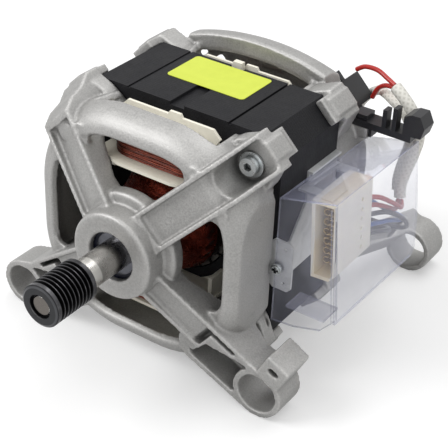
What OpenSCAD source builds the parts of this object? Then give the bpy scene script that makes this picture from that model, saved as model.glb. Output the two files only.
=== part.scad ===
// Drive motor of a washing machine: a brushed series motor between two cast end shields.
// X runs across the motor, Y along the shaft towards the rear, and Z up.
// The origin is on the shaft's line, at the middle of the belt grooves.

/* [Mounting lugs] */
// Distance from the middle of the belt to the front faces of the front lugs
lug_face_y = 51; // [48:1:62]
// Distance from the front faces of the front lugs to those of the rear lugs
lug_row_pitch = 150; // [146:1:160]
// Distance between the two lugs of a row
lug_span = 142.4; // [140:0.2:150]
// Drop from the shaft's line to the lug holes
lug_drop = 55; // [53:0.5:58]
// Diameter of the hole through a lug
lug_bore_d = 20; // [16:0.5:21]
// Wall round the hole of a lug
lug_wall = 3; // [2.6:0.1:4]
// Length of a lug along the shaft
lug_len = 18; // [14:1:20]
// Width of the slot in the tab above the front right lug
tab_slot_w = 3; // [2.4:0.1:3.6]
// Length of the slot in that tab
tab_slot_len = 5.6; // [5:0.2:7]

/* [Belt pulley] */
// Number of belt grooves
groove_count = 9; // [7:1:9]
// Distance between belt grooves
groove_pitch = 2.34; // [2.2:0.02:2.4]
// Depth of a belt groove
groove_depth = 1.9; // [1.5:0.1:2.2]
// Diameter over the crests between the grooves
pulley_d = 20.7; // [20:0.1:23]
// Plain land at each end of the pulley
land_w = 2.5; // [2:0.1:3]

/* [Shaft and bearings] */
// Diameter of the shaft in the front bearing
shaft_d = 15; // [14:0.5:15.5]
// Diameter of the shaft's nose inside the pulley
nose_d = 10; // [9:0.5:11]
// Diameter of the shaft in the rear bearing
rear_shaft_d = 12; // [11:0.5:12.5]
// Diameter of the shaft's tail
tail_d = 8; // [6:0.5:9]
// Outside diameter of the front bearing
front_bearing_od = 35; // [34:0.5:36]
// Width of the front bearing
front_bearing_w = 11; // [10.5:0.5:12]
// Outside diameter of the rear bearing
rear_bearing_od = 32; // [31:0.5:33]
// Width of the rear bearing
rear_bearing_w = 10; // [9.5:0.5:11]
// Number of balls in a bearing
ball_count = 8; // [6:1:8]

/* [Stator] */
// Width of the lamination stack
stack_w = 113; // [112:0.5:114]
// Height of the lamination stack
stack_h = 114.5; // [113:0.5:115]
// Length of the lamination stack
stack_len = 50; // [46:1:54]
// Distance from the front faces of the front lugs to the stack
stack_gap = 33.5; // [33:0.5:36]
// Leg of the bevel on each corner of the stack
corner_cut = 10; // [9.5:0.1:10.4]
// Thickness of the yoke behind the poles and beside them
yoke_t = 12; // [11:0.5:13]
// Width of the neck of a pole
pole_neck_w = 30; // [28:1:32]
// Angle that a pole face spans round the armature
pole_span = 120; // [110:1:124]
// Thickness of a pole shoe
shoe_t = 5; // [4:0.2:5.4]

/* [Armature] */
// Diameter of the armature
armature_d = 60; // [58:0.5:60.6]
// Gap between the armature and the pole faces
air_gap = 0.6; // [0.4:0.05:0.9]
// Number of winding slots, and of commutator bars
slot_count = 24; // [18:2:28]
// Width of a winding slot
slot_w = 2.4; // [1.8:0.1:2.8]
// Diameter of the commutator
commutator_d = 35; // [33:0.5:36]
// Length of the commutator's brush track
commutator_len = 20; // [18:0.5:21]

/* [Field coils] */
// Turns in the outer layer of a field coil
coil_turns = 6; // [5:1:7]
// Diameter of the enamelled wire
wire_d = 1; // [0.8:0.05:1.05]
// Width of a field coil's bundle
coil_w = 9.5; // [8:0.5:10]
// Thickness of the moulded bobbins
bobbin_t = 1.6; // [1.2:0.1:2]

/* [End shields] */
// Wall of the cast rings
ring_wall = 3.2; // [2.8:0.1:3.8]
// Half width of the rings at their widest
ring_half = 61.5; // [60.5:0.5:62]
// Half width of the front ring's mouth
mouth_half = 50; // [49:0.5:52]
// Outside diameter of the front hub
front_hub_od = 43.6; // [42.5:0.2:46]
// How far the front hub stands in front of the lug faces
hub_proud = 17; // [16:0.5:18]
// Diameter of the hole in the front hub
hub_hole_d = 28.6; // [27:0.2:30]
// Width of an arm of the front shield
arm_w = 20; // [19:0.5:21]
// Width of the rims that stand along an arm
rim_w = 2.2; // [1.8:0.1:2.4]
// Height of those rims above the floor of an arm
rim_h = 3.1; // [2:0.1:4]
// Distance from the shaft's line to the clamping bolts
bolt_r = 66; // [65.5:0.1:66.5]
// Diameter of the clamping bolts
bolt_d = 5; // [4:0.5:5.4]
// Thickness of the claws that grip the stack's corners
claw_t = 4.4; // [3.6:0.1:5]
// Length of the claws along the stack
claw_len = 8.5; // [7:0.5:12]

/* [Brush gear] */
// Thickness of a carbon brush
brush_t = 5; // [4.4:0.1:5.4]
// Width of a carbon brush along the shaft
brush_w = 12.5; // [11.5:0.5:13]
// Length of a carbon brush
brush_len = 30; // [28:1:31]
// How far a brush lifts against its spring
brush_lift = 6; // [4:0.5:6.5]
// Wall of a brush holder round its brush
holder_wall = 2.2; // [1.8:0.1:2.6]

/* [Terminal block and cover] */
// Number of terminals in the block
terminal_count = 6; // [4:1:6]
// Distance between terminals
terminal_pitch = 5; // [4.8:0.1:5.2]
// Depth of the terminal block along the shaft
block_depth = 33; // [30:1:34]
// Width of the terminal block
block_w = 12.6; // [12:0.2:13]
// Length of the clear cover along the shaft
cover_len = 81; // [76:1:82]
// Thickness of the clear cover
cover_t = 1; // [0.8:0.1:1.2]
// Lean of the block and the cover's outer wall away from upright
lean = 4; // [3:0.5:5]
// Thickness of the steel bracket
bracket_t = 1.1; // [1:0.1:1.5]

/* [Leads] */
// Diameter of a lead
lead_d = 2.4; // [2:0.1:2.6]
// Diameter of the woven sleeve over the leads
sleeve_d = 6; // [5.4:0.1:6.4]

/* [Hidden] */
$fn = 96;

// Clearances
seat_gap = 0.02; // pieces pressed or bolted together
run_gap = 0.05; // round pieces that turn on each other
slide_gap = 0.1; // a brush in its holder
free_gap = 0.3; // neighbours that never touch
bolt_gap = 0.25; // a bolt in its hole

// Places along the shaft. Depths are measured outward from the ends of the stack.
stack_y0 = lug_face_y + stack_gap;
stack_y1 = stack_y0 + stack_len;
rear_lug_depth = lug_face_y + lug_row_pitch - stack_y1;
hub_depth = stack_gap + hub_proud;
hub_lip = 4;
front_bearing_depth = hub_depth - hub_lip - front_bearing_w;
hub_back_depth = front_bearing_depth - 6;
commutator_depth = 30;
riser_len = 4;
brush_depth = commutator_depth + commutator_len / 2;
rear_bearing_depth = commutator_depth + commutator_len + 4;
rear_hub_lip = 4;
rear_hub_depth = rear_bearing_depth + rear_bearing_w + rear_hub_lip;
magnet_len = 9;
tail_depth = rear_hub_depth + magnet_len + 1.4;
nose_y = -(groove_count * groove_pitch / 2 + land_w) + 1.2;

// Radii
lug_x = lug_span / 2;
lug_r = lug_bore_d / 2 + lug_wall;
pulley_r = pulley_d / 2;
bore_r = armature_d / 2 + air_gap;
shoe_r = bore_r + shoe_t;
commutator_r = commutator_d / 2;
front_hub_r = front_hub_od / 2;
bevel_r = (stack_w / 2 + stack_h / 2 - corner_cut) / sqrt(2);
corner_r = bevel_r + claw_t;
ring_flat = 12;
rear_hub_r = rear_bearing_od / 2 + 3.5;
rear_hole_r = tail_d / 2 + 2.5;

// Heights of the window in the stack and of what lies in it
window_w = stack_w - 2 * yoke_t;
window_h = stack_h - 2 * yoke_t;
neck_half = pole_neck_w / 2 + free_gap / 2 + bobbin_t;
coil_floor = sqrt(pow(shoe_r + free_gap + bobbin_t, 2) - pow(neck_half, 2));
coil_roof = window_h / 2 - free_gap - bobbin_t;
coil_pitch = wire_d + 0.45;
coil_x = neck_half + 0.2 + coil_w;
coil_overhang = 11;
flange_reach = 6; // of a bobbin's lower flange beyond its end turns
coil_y = stack_len / 2 + coil_overhang + coil_w;
coil_corner = coil_w + 2;
coil_z0 = coil_floor + 0.05;

// Brush holders
holder_half_t = brush_t / 2 + slide_gap + holder_wall + 2.7;
holder_d0 = brush_depth - brush_w / 2 - slide_gap - holder_wall;
holder_d1 = brush_depth + brush_w / 2 + slide_gap + holder_wall;
holder_in = commutator_r + 1.5;
brush_in = commutator_r + run_gap;
brush_out = brush_in + brush_len;
spring_out = brush_out + 12.7;
holder_out = spring_out + 1.8;
ear_screw_t = 10.5;

// Terminal bracket: it lies on the side of the stack, and its foot on the front of the stack
bracket_x = stack_w / 2 + seat_gap;
foot_y = stack_gap - 0.05 - bracket_t;
foot_x0 = stack_w / 2 - 2;
foot_x1 = stack_w / 2 + 10;
foot_z0 = -19;
foot_z1 = 7.6;
bracket_screw_x = stack_w / 2 + 2.9;
bracket_screw_z = -7;
ledge_z = 26;

// Terminal block: the middle of its body, and its height
block_x = stack_w / 2 + 21.7;
block_y = 38;
block_z = 11.6;
block_h = (terminal_count - 1) * terminal_pitch + 15.4;

// Clear cover, in X and Z. It is clamped between the screw and the foot.
cover_y = foot_y - seat_gap - cover_t;
cover_x0 = bracket_x + bracket_t + free_gap;
cover_top = [[stack_w / 2 + 0.5, 30.2], [stack_w / 2 + 30, 37.2]];
cover_low = [stack_w / 2 + 35.8, -24];

// Lead guide behind the cover
guide_x0 = 58;
guide_z = 38;
guide_depth = 16.5;
guide_w = 10;

// Lays an outline in X and Z between two places along the shaft
module slab(y0, y1) {
    translate([0, y1, 0]) rotate([90, 0, 0]) linear_extrude(y1 - y0) children();
}

// Turns an outline of radius and place about the shaft's line
module turned() {
    rotate([-90, 0, 0]) rotate_extrude() children();
}

// Stands a rod along the shaft
module rod(r, y0, y1, x = 0, z = 0) {
    translate([x, y0, z]) rotate([-90, 0, 0]) cylinder(r = r, h = y1 - y0);
}

// A hollow round piece along the shaft
module tube(outer, inner, y0, y1) {
    difference() {
        rod(outer, y0, y1);
        rod(inner, y0 - 1, y1 + 1);
    }
}

// A block given by its lowest and highest corners
module block(low, high) {
    translate(low) cube(high - low);
}

// Points +X of what it holds along a spoke at this angle above +X
module spoke(angle) {
    rotate([0, -angle, 0]) children();
}

// Depth in front of the stack, or behind it, becomes a place along the shaft
module in_front() {
    translate([0, stack_y0, 0]) mirror([0, 1, 0]) children();
}
module behind() {
    translate([0, stack_y1, 0]) children();
}

// Two round ends joined by their tangents
module link(a, ra, b, rb) {
    along = atan2(b[1] - a[1], b[0] - a[0]);
    open = acos((ra - rb) / norm(b - a));
    translate(a) circle(ra);
    translate(b) circle(rb);
    polygon([for (p = [[a, ra, 1], [b, rb, 1], [b, rb, -1], [a, ra, -1]])
        p[0] + p[1] * [cos(along + p[2] * open), sin(along + p[2] * open)]]);
}

// A rectangle with round corners about the origin
module rounded(w, h, r) {
    square([w - 2 * r, h], center = true);
    square([w, h - 2 * r], center = true);
    for (x = [-1, 1], y = [-1, 1]) translate([x * (w / 2 - r), y * (h / 2 - r)]) circle(r);
}

// A closed tube through rings of points, with flat ends
module skin(rings) {
    sides = len(rings[0]);
    last = len(rings) - 1;
    polyhedron(
        points = [for (ring = rings) for (p = ring) p],
        faces = concat(
            [for (j = [1:sides - 2]) [0, j + 1, j]],
            [for (i = [0:last - 1]) for (j = [0:sides - 1]) let (k = (j + 1) % sides)
                each [[i * sides + j, (i + 1) * sides + k, (i + 1) * sides + j],
                      [i * sides + j, i * sides + k, (i + 1) * sides + k]]],
            [for (j = [1:sides - 2]) [last * sides, last * sides + j, last * sides + j + 1]]
        )
    );
}

function unit(v) = v / norm(v);

// A smooth curve through points picked by hand, with n steps between two of them
function curve(p, n) = [
    for (i = [0:len(p) - 2]) for (k = [0:n - (i == len(p) - 2 ? 0 : 1)])
        let (a = p[max(i - 1, 0)], b = p[i], c = p[i + 1], d = p[min(i + 2, len(p) - 1)], t = k / n)
        0.5 * (2 * b + (c - a) * t + (2 * a - 5 * b + 4 * c - d) * t * t + (3 * b - a - 3 * c + d) * t * t * t)
];

// Rings of points round a path. The side vector only turns the rings, so that they don't twist.
function rings_along(path, r, sides, side) = [
    for (i = [0:len(path) - 1])
        let (t = unit(path[min(i + 1, len(path) - 1)] - path[max(i - 1, 0)]),
             u = unit(cross(t, side)), v = cross(u, t))
        [for (j = [0:sides - 1]) path[i] + r * (cos(360 * j / sides) * u + sin(360 * j / sides) * v)]
];

// Section of a cast ring: a quarter ellipse outside and inside, from its widest place to its mouth
function ellipse_arc(r0, r1, d0, d1, n) =
    [for (i = [0:n]) [r0 + (r1 - r0) * cos(90 * i / n), d0 + (d1 - d0) * sin(90 * i / n)]];
function reversed(list) = [for (i = [len(list) - 1:-1:0]) list[i]];
function ring_section(root, wide, mouth, wide_depth, mouth_depth, lip) = concat(
    [[root, 1.5]],
    ellipse_arc(mouth, wide, wide_depth, mouth_depth, 8),
    reversed(ellipse_arc(mouth - lip, wide - ring_wall, wide_depth, mouth_depth - ring_wall, 6)),
    [[root - ring_wall, 1.5]]
);

// A ring with four flats and four round corners, from one section
module cast_ring(section) {
    for (turn = [0:90:270]) rotate([0, turn, 0]) {
        linear_extrude(height = 2 * ring_flat, center = true) polygon(section);
        translate([ring_flat, 0, -ring_flat]) rotate([-90, 0, 0])
            rotate_extrude(angle = 90) translate([-ring_flat, 0]) polygon(section);
    }
}

// One corner of a shield: the pad that bears on the stack and the claw over its bevel
module shield_corner(pad_depth) {
    slab(0, pad_depth) polygon([[52, -15], [bolt_r, -13], [corner_r, -8], [corner_r, 8], [bolt_r, 13],
        [52, 15]]);
    block([bevel_r + run_gap, -claw_len, -6.6], [corner_r, 1, 6.6]);
    block([bevel_r + run_gap, -claw_len + 3.5, -4.8], [corner_r + 1, pad_depth, 4.8]);
}
boss_depth = 8.5;
rear_boss_depth = boss_depth + 4;
bolt_thread_depth = 19;

// An opening above the stack, between the arms to its two corners
module crown_opening(depth) {
    intersection() {
        translate([0, 0, 40]) linear_extrude(40) polygon([
            [-44, -1], [-44, depth - 7], [-36, depth - 1], [-30, depth], [30, depth], [36, depth - 1],
            [44, depth - 7], [44, -1]
        ]);
        slab(-2, depth + 1) polygon([[0, 21.4], [60, 81.4], [-60, 81.4]]);
    }
}

// Front end shield

rim_root = hub_depth - 7;
flat_x = 56.8;
flat_half = 32;
arm_tip_r = 67;
arm_tip_depth = stack_gap - 2;
lug_arm_angle = -atan2(lug_drop, lug_x);
lug_arm_r = norm([lug_x, lug_drop]) - lug_r;
lug_arm_w = arm_w - 2.4;
web_x = 37.4;
web_z = -43;
web_r = 10.6;

module upper_arm() {
    linear_extrude(height = arm_w, center = true) polygon([
        [front_hub_r - 2.5, rim_root], [arm_tip_r, arm_tip_depth], [arm_tip_r + 4, arm_tip_depth - 7],
        [arm_tip_r + 6.5, 15.5], [corner_r, boss_depth], [corner_r, 0], [bolt_r - 7, 0], [56, 12],
        [46, 22], [30, 29], [front_hub_r - 2.5, 30]
    ]);
}

// The right arm's channel runs out over the bolt's seat
module open_channel() {
    linear_extrude(height = arm_w - 2 * rim_w, center = true) polygon([
        [front_hub_r + 0.5, rim_root + 9], [front_hub_r + 0.5, rim_root - rim_h - 0.4],
        [arm_tip_r - 11.5, arm_tip_depth - rim_h + 2.4], [arm_tip_r - 9.4, arm_tip_depth - rim_h - 0.6],
        [bolt_r, arm_tip_depth - rim_h - 1], [bolt_r, boss_depth], [corner_r + 2, boss_depth],
        [corner_r + 2, rim_root + 9]
    ]);
    rod(arm_w / 2 - rim_w, boss_depth, rim_root, bolt_r);
}

// The left arm's channel stops at a wall, with the boss that takes the bolt's thread in front of it
module closed_channel() {
    difference() {
        linear_extrude(height = arm_w - 2 * rim_w, center = true) polygon([
            [front_hub_r + 0.5, rim_root + 9], [front_hub_r + 0.5, rim_root - rim_h - 0.4],
            [arm_tip_r - 5.4, arm_tip_depth - rim_h + 0.6],
            [arm_tip_r - 3.2, arm_tip_depth - rim_h + 2], [arm_tip_r - 2.6, rim_root + 9]
        ]);
        rod(4.6, 20, arm_tip_depth - 0.6, arm_tip_r - 8);
    }
}

module lug_arm() {
    linear_extrude(height = lug_arm_w, center = true) polygon([
        [front_hub_r - 2.5, rim_root], [lug_arm_r + 1.6, stack_gap - 0.7],
        [lug_arm_r + 1.6, stack_gap - lug_len + 0.6],
        [60, 13], [50, 20], [30, 29], [front_hub_r - 2.5, 30]
    ]);
}

module lug_arm_channel() {
    linear_extrude(height = lug_arm_w - 2 * rim_w, center = true) polygon([
        [front_hub_r + 0.5, rim_root + 9], [front_hub_r + 0.5, rim_root - rim_h - 0.4],
        [52, stack_gap + 2.4], [56, stack_gap - 6], [56, rim_root + 9]
    ]);
}

// The hollow bracket that carries a front lug, and what is hollowed out of it
module lug_web() {
    slab(stack_gap - lug_len, stack_gap) link([lug_x, -lug_drop], lug_r, [web_x, web_z], web_r);
    slab(0, stack_gap - lug_len + 1) translate([web_x, web_z]) circle(web_r);
}
module lug_web_hollow() {
    slab(stack_gap - lug_len + 3, rim_root + 9) difference() {
        link([lug_x, -lug_drop], lug_r - 3, [web_x + 1.5, web_z - 0.5], web_r - 3.2);
        translate([lug_x, -lug_drop]) circle(lug_r);
        translate([20, -34]) rotate(-42) square([20, 40]);
    }
    spoke(-45) rod(7.6, boss_depth, rim_root, bolt_r);
    spoke(lug_arm_angle) block([54, stack_gap - 9, lug_arm_w / 2 - rim_w - 2.2],
        [70, rim_root, lug_arm_w / 2 - rim_w]);
}

// Fills the corner of a window with a round. The corner lies at v, half its angle opens to each
// side of the direction given, and the filling reaches into the metal round it.
module window_corner(v, direction, half_angle) {
    reach = corner_round / sin(half_angle) - 0.5;
    side = corner_round / tan(half_angle);
    slab(stack_gap - 3.7, stack_gap - 0.6) translate(v) rotate(direction) difference() {
        polygon([
            [side * cos(half_angle), side * sin(half_angle)], [0, 2.6], [-2, 0], [0, -2.6],
            [side * cos(half_angle), -side * sin(half_angle)]
        ]);
        translate([reach, 0]) circle(corner_round);
    }
}
corner_round = 5.2;

module both_sides() {
    children();
    mirror([1, 0, 0]) children();
}

module front_end_shield() {
    color("#b7b6b1") in_front() difference() {
        union() {
            cast_ring(ring_section(ring_half - 2, ring_half, mouth_half, 16.5, stack_gap, 2));
            // The flat wall on the ring's right side
            intersection() {
                cast_ring(concat(
                    [[flat_x - 6, 1.5], [ring_half - 2, 1.5]],
                    reversed(ellipse_arc(mouth_half, ring_half, 16.5, stack_gap, 8)), [[flat_x - 6,
                        stack_gap]]
                ));
                block([flat_x - ring_wall, 1, -flat_half - 3], [flat_x, stack_gap + 1, flat_half + 3]);
            }
            turned() polygon([
                [17, hub_depth], [front_hub_r - 1, hub_depth], [front_hub_r, hub_depth - 1],
                [front_hub_r, hub_depth - 11.4], [26, hub_depth - 12.4], [27, hub_depth - 13.4],
                [27, hub_back_depth + 2], [25, hub_back_depth], [17, hub_back_depth]
            ]);
            for (angle = [45, 135]) spoke(angle) upper_arm();
            both_sides() spoke(lug_arm_angle) lug_arm();
            for (angle = [45:90:315]) spoke(angle) shield_corner(boss_depth);
            both_sides() {
                lug_web();
                window_corner([48, 33.9], -112.5, 22.5);
                window_corner([33.9, 48], -157.5, 22.5);
                window_corner([48, -26], 116.2, 26.2);
            }
            // The tab over the right lug
            slab(stack_gap - lug_len, stack_gap + 0.8) translate([lug_x, -lug_drop]) rotate(63)
                translate([lug_r - 2, -6.4]) square([13.4, 12.8]);
        }
        spoke(45) open_channel();
        spoke(135) {
            closed_channel();
            rod(bolt_d / 2 + run_gap, -1, bolt_thread_depth + 0.5, bolt_r);
        }
        for (angle = [-45, 45, 225]) spoke(angle) {
            rod(bolt_d / 2 + bolt_gap, -1, hub_depth, bolt_r);
            rod(7.6, boss_depth, hub_depth, bolt_r);
        }
        both_sides() spoke(lug_arm_angle) lug_arm_channel();
        both_sides() lug_web_hollow();
        for (side = [-1, 1]) rod(lug_bore_d / 2, 0, hub_depth, side * lug_x, -lug_drop);
        rod(hub_hole_d / 2, hub_back_depth - 1, hub_depth + 1);
        rod(front_bearing_od / 2 + seat_gap, hub_back_depth - 1, front_bearing_depth + front_bearing_w);
        // The slot in the tab
        slab(stack_gap - lug_len - 1, stack_gap + 2) translate([lug_x,
            -lug_drop]) rotate(63) translate([18.7, 0])
            rounded(tab_slot_w, tab_slot_len, tab_slot_w / 2 - 0.01);
        // The crown, open between its band and the stack
        crown_opening(19.5);
        block([flat_x, -1, -flat_half], [ring_half + 1, stack_gap, flat_half + 1.6]);
        // Room for the foot of the terminal bracket and its screw
        block([foot_x0 - 0.5, 1, -42], [foot_x1, 3, 33]);
        block([bracket_screw_x - 3.4, 1, bracket_screw_z - 3.6], [foot_x1, 5.6, bracket_screw_z + 3.6]);
    }
}

// Rear end shield

rear_wide = ring_half + 0.5;
rear_mouth = mouth_half + 1;
rear_mouth_depth = 34;
seat_depth = rear_mouth_depth + 2;
ear_half = 14;
ear_in = 46;
ear_out = 60;
arch_drop = 60;
arch_top = 66.2;

module rear_spoke() {
    linear_extrude(height = 13, center = true) polygon([
        [rear_bearing_od / 2 + 1, rear_bearing_depth + 1], [rear_bearing_od / 2 + 1, rear_hub_depth - 1],
        [rear_hub_r + 4, rear_hub_depth - 2], [rear_mouth, rear_mouth_depth + 3],
        [rear_wide - 4, rear_mouth_depth - 6],
        [rear_wide - 5, rear_mouth_depth - 12], [rear_mouth - 4, rear_mouth_depth - 6],
        [rear_hub_r + 8, rear_bearing_depth - 2]
    ]);
}

// The arch that thickens the band over the crown
module crown_arch() {
    translate([0, 0, -arch_drop]) rotate([-90, 0, 0]) rotate_extrude(angle = 360) polygon([
        [arch_drop + 57, 13], [arch_drop + arch_top - 0.8, 12.2], [arch_drop + arch_top, 14],
        [arch_drop + arch_top - 0.8, 21], [arch_drop + arch_top - 3.6, 27], [arch_drop + 57, 30]
    ]);
}

// The long leg that carries a rear lug
module rear_leg() {
    spoke(lug_arm_angle) {
        difference() {
            linear_extrude(height = 18, center = true) polygon([
                [54, 6], [64, 10], [70, 20], [lug_arm_r + 6, rear_lug_depth + 0.7],
                [lug_arm_r + 6, rear_lug_depth + lug_len - 0.7],
                [lug_arm_r - 2, rear_lug_depth + lug_len - 0.7], [66.5, 50], [62, rear_mouth_depth + 4],
                [50, rear_mouth_depth - 8]
            ]);
            for (side = [-1, 1]) translate([0, 0, side * 6.4])
                linear_extrude(height = 7.6, center = true) polygon([
                    [58, 12], [63, 14], [67, 24], [lug_arm_r + 1, rear_lug_depth - 14],
                    [lug_arm_r - 1, rear_lug_depth + lug_len - 8], [68.5, 50], [64, rear_mouth_depth + 2],
                    [57, rear_mouth_depth - 6]
                ]);
        }
    }
    rod(lug_r, rear_lug_depth, rear_lug_depth + lug_len, lug_x, -lug_drop);
}

module rear_end_shield() {
    color("#b7b6b1") behind() difference() {
        union() {
            cast_ring(ring_section(ring_half - 2, rear_wide, rear_mouth, 16, rear_mouth_depth, 2));
            turned() polygon([
                [rear_hole_r, rear_hub_depth], [rear_hub_r - 1, rear_hub_depth],
                [rear_hub_r, rear_hub_depth - 1],
                [rear_hub_r, rear_bearing_depth - 2],
                [rear_bearing_od / 2 + seat_gap, rear_bearing_depth - 2],
                [rear_bearing_od / 2 + seat_gap, rear_bearing_depth + rear_bearing_w],
                [rear_hole_r, rear_bearing_depth + rear_bearing_w]
            ]);
            for (angle = [0:90:270]) spoke(angle) rear_spoke();
            for (angle = [45:90:315]) spoke(angle) shield_corner(rear_boss_depth);
            both_sides() rear_leg();
            intersection() {
                crown_arch();
                block([-40, 10, 40], [40, 32, 80]);
            }
            // The wall behind the crown
            slab(rear_mouth_depth - 3.4, rear_mouth_depth - 0.6) polygon([
                [-13, 24.6], [13, 24.6], [14, 32.2], [22, 34.2], [31, 43], [31, 52], [-31, 52], [-31, 43],
                [-22, 34.2], [-14, 32.2]
            ]);
            // Ears that the brush holders are screwed to
            for (angle = [45, 225]) spoke(angle)
                block([ear_in, rear_mouth_depth - 10, -ear_half], [ear_out, seat_depth, ear_half]);
            // The pad under the lead guide
            block([guide_x0 - 4, guide_depth, guide_z - 6], [guide_x0 + 5, guide_depth + guide_w, guide_z]);
        }
        // The open crown and the side window
        crown_opening(12.5);
        block([40, 4, -26], [ring_half + 4, 26, 12]);
        for (angle = [45, 225]) spoke(angle) {
            block([ear_in - 12, holder_d0 - free_gap, -holder_half_t - free_gap],
                  [holder_out + 2, holder_d1 + free_gap, holder_half_t + free_gap]);
            block([ear_in - 1, seat_depth, -ear_half + 0.6],
                [ear_out + 0.4, seat_depth + 6, ear_half - 0.6]);
        }
        for (angle = [-45, 45, 225]) spoke(angle) rod(bolt_d / 2 + run_gap, -1, boss_depth + 1, bolt_r);
        // The upper left bolt comes from this end
        spoke(135) {
            rod(bolt_d / 2 + bolt_gap, -1, rear_boss_depth + 1, bolt_r);
            rod(7.6, rear_boss_depth - 2, seat_depth + 4, bolt_r);
        }
        for (angle = [45, 225], side = [-1, 1]) spoke(angle)
            rod(1.5, seat_depth - 8, seat_depth + 1, (ear_in + ear_out) / 2, side * ear_screw_t);
        for (side = [-1, 1]) rod(lug_bore_d / 2, rear_lug_depth - 1, rear_lug_depth + lug_len + 1,
            side * lug_x, -lug_drop);
    }
}

// Stator

module stack_outline() {
    polygon([
        [stack_w / 2, -stack_h / 2 + corner_cut], [stack_w / 2, stack_h / 2 - corner_cut],
        [stack_w / 2 - corner_cut, stack_h / 2], [-stack_w / 2 + corner_cut, stack_h / 2],
        [-stack_w / 2, stack_h / 2 - corner_cut], [-stack_w / 2, -stack_h / 2 + corner_cut],
        [-stack_w / 2 + corner_cut, -stack_h / 2], [stack_w / 2 - corner_cut, -stack_h / 2]
    ]);
}

module pole_outline() {
    intersection() {
        difference() {
            circle(shoe_r);
            circle(bore_r);
        }
        polygon([[0, 0], 60 * [sin(pole_span / 2), cos(pole_span / 2)],
            [0, 60], 60 * [-sin(pole_span / 2), cos(pole_span / 2)]]);
    }
    difference() {
        translate([-pole_neck_w / 2, bore_r]) square([pole_neck_w, window_h / 2 + 1 - bore_r]);
        circle(bore_r + 1);
    }
}

module stator_stack() {
    color("#1e1e20") slab(stack_y0, stack_y1) difference() {
        union() {
            difference() {
                stack_outline();
                square([window_w, window_h], center = true);
            }
            pole_outline();
            mirror([0, 1]) pole_outline();
        }
        for (angle = [45:90:315]) rotate(angle) translate([bolt_r, 0]) circle(bolt_d / 2 + bolt_gap);
        // Weld grooves down the outside
        for (side = [-1, 1]) {
            translate([28, side * stack_h / 2]) square([1.4, 2.4], center = true);
            translate([-29, side * stack_h / 2]) square([1.4, 1.2], center = true);
        }
        translate([-1, stack_h / 2]) square([8, 3.2], center = true);
    }
}

// One bobbin: a neck round the pole, a flange on the shoe, and end flanges that hold the end turns
module bobbin() {
    floor_r = shoe_r + free_gap;
    flange_y = stack_y0 - coil_overhang - coil_w - flange_reach;
    difference() {
        union() {
            // The neck, closed over the ends of the pole
            block([-neck_half, stack_y0 - coil_overhang, coil_floor - 1],
                [neck_half, stack_y1 + coil_overhang, window_h / 2 - free_gap]);
            // The flange over the shoe
            slab(stack_y0 + free_gap, stack_y1 - free_gap) intersection() {
                difference() {
                    circle(floor_r + bobbin_t);
                    circle(floor_r);
                }
                polygon([[0, 0], [33, 19.5], [33, 60], [-33, 60], [-33, 19.5]]);
            }
            // The outer flange in the window
            block([-33, stack_y0 + free_gap, window_h / 2 - free_gap - bobbin_t],
                [33, stack_y1 - free_gap, window_h / 2 - free_gap]);
            for (end = [0, 1]) translate([0, end * (stack_y0 + stack_y1), 0]) mirror([0, end, 0]) {
                // Under the end turns
                translate([0, 0, coil_floor - bobbin_t]) linear_extrude(bobbin_t) polygon([
                    [-31, stack_y0], [-31, flange_y + 10], [-27, flange_y + 6], [-19, flange_y + 1],
                    [-15, flange_y],
                    [15, flange_y], [19, flange_y + 1], [27, flange_y + 6], [31, flange_y + 10],
                    [31, stack_y0]
                ]);
                // Over the end turns
                block([-25, stack_y0 - coil_overhang - coil_w - 0.8, window_h / 2 - free_gap - bobbin_t],
                      [25, stack_y0, window_h / 2 - free_gap]);
                // The tall rim that shows in the crown
                slab(stack_y0 - 7, stack_y0 - 5.5) translate([0, window_h / 2]) polygon([
                    [-25, -1.75], [-26, 2.75], [-28, 5.75], [-24, 9.75], [-1, 9.75], [0, 11.55],
                    [6, 11.55], [7, 9.75],
                    [24, 9.75], [28, 5.75], [26, 2.75], [25, -1.75]
                ]);
                for (side = [-1, 1]) block([side * 29 - 1, stack_y0 - 12, coil_floor - 13],
                    [side * 29 + 1, stack_y0 - 2, coil_floor - 1]);
            }
        }
        // Room for the pole
        block([-pole_neck_w / 2 - free_gap / 2, stack_y0 - free_gap, 0],
            [pole_neck_w / 2 + free_gap / 2, stack_y1 + free_gap, stack_h]);
        rod(floor_r, stack_y0 - free_gap, stack_y1 + free_gap);
    }
}

module upper_bobbin() {
    color("#e9e1c4") {
        bobbin();
        // The terminal clip that shows in the open crown
        block([-6, stack_y1 + 2.6, window_h / 2 + 6], [-1, stack_y1 + 5.6, window_h / 2 + 12.6]);
    }
}

module lower_bobbin() {
    color("#e9e1c4") mirror([0, 0, 1]) bobbin();
}

// One loop of the outer layer, seen from above, with five rings at each corner and one on each side
coil_hx = coil_x - wire_d / 2;
coil_hy = coil_y - wire_d / 2;
coil_cr = coil_corner - wire_d / 2;
coil_loop = [
    for (q = [0:3]) each concat(
        [[[coil_hx, 0], [0, coil_hy], [-coil_hx, 0], [0, -coil_hy]][q]],
        [for (k = [0:4]) let (a = 90 * q + 22.5 * k, sx = (q == 0 || q == 3) ? 1 : -1, sy = q < 2 ? 1 : -1)
            [sx * (coil_hx - coil_cr) + coil_cr * cos(a), sy * (coil_hy - coil_cr) + coil_cr * sin(a)]]
    )
];
coil_rings = len(coil_loop);
echo("gap between two turns", coil_pitch - wire_d);
echo("gap between the winding and its core", (coil_x - wire_d) - (coil_x - wire_d - 0.45));

module winding_core(z0, z1) {
    trim = wire_d + 0.45;
    translate([0, (stack_y0 + stack_y1) / 2, z0]) linear_extrude(z1 - z0) difference() {
        rounded(2 * (coil_x - trim), 2 * (coil_y - trim), coil_corner - trim);
        square([2 * (neck_half + 0.2), 2 * (stack_len / 2 + coil_overhang + 0.2)], center = true);
    }
}

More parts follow.
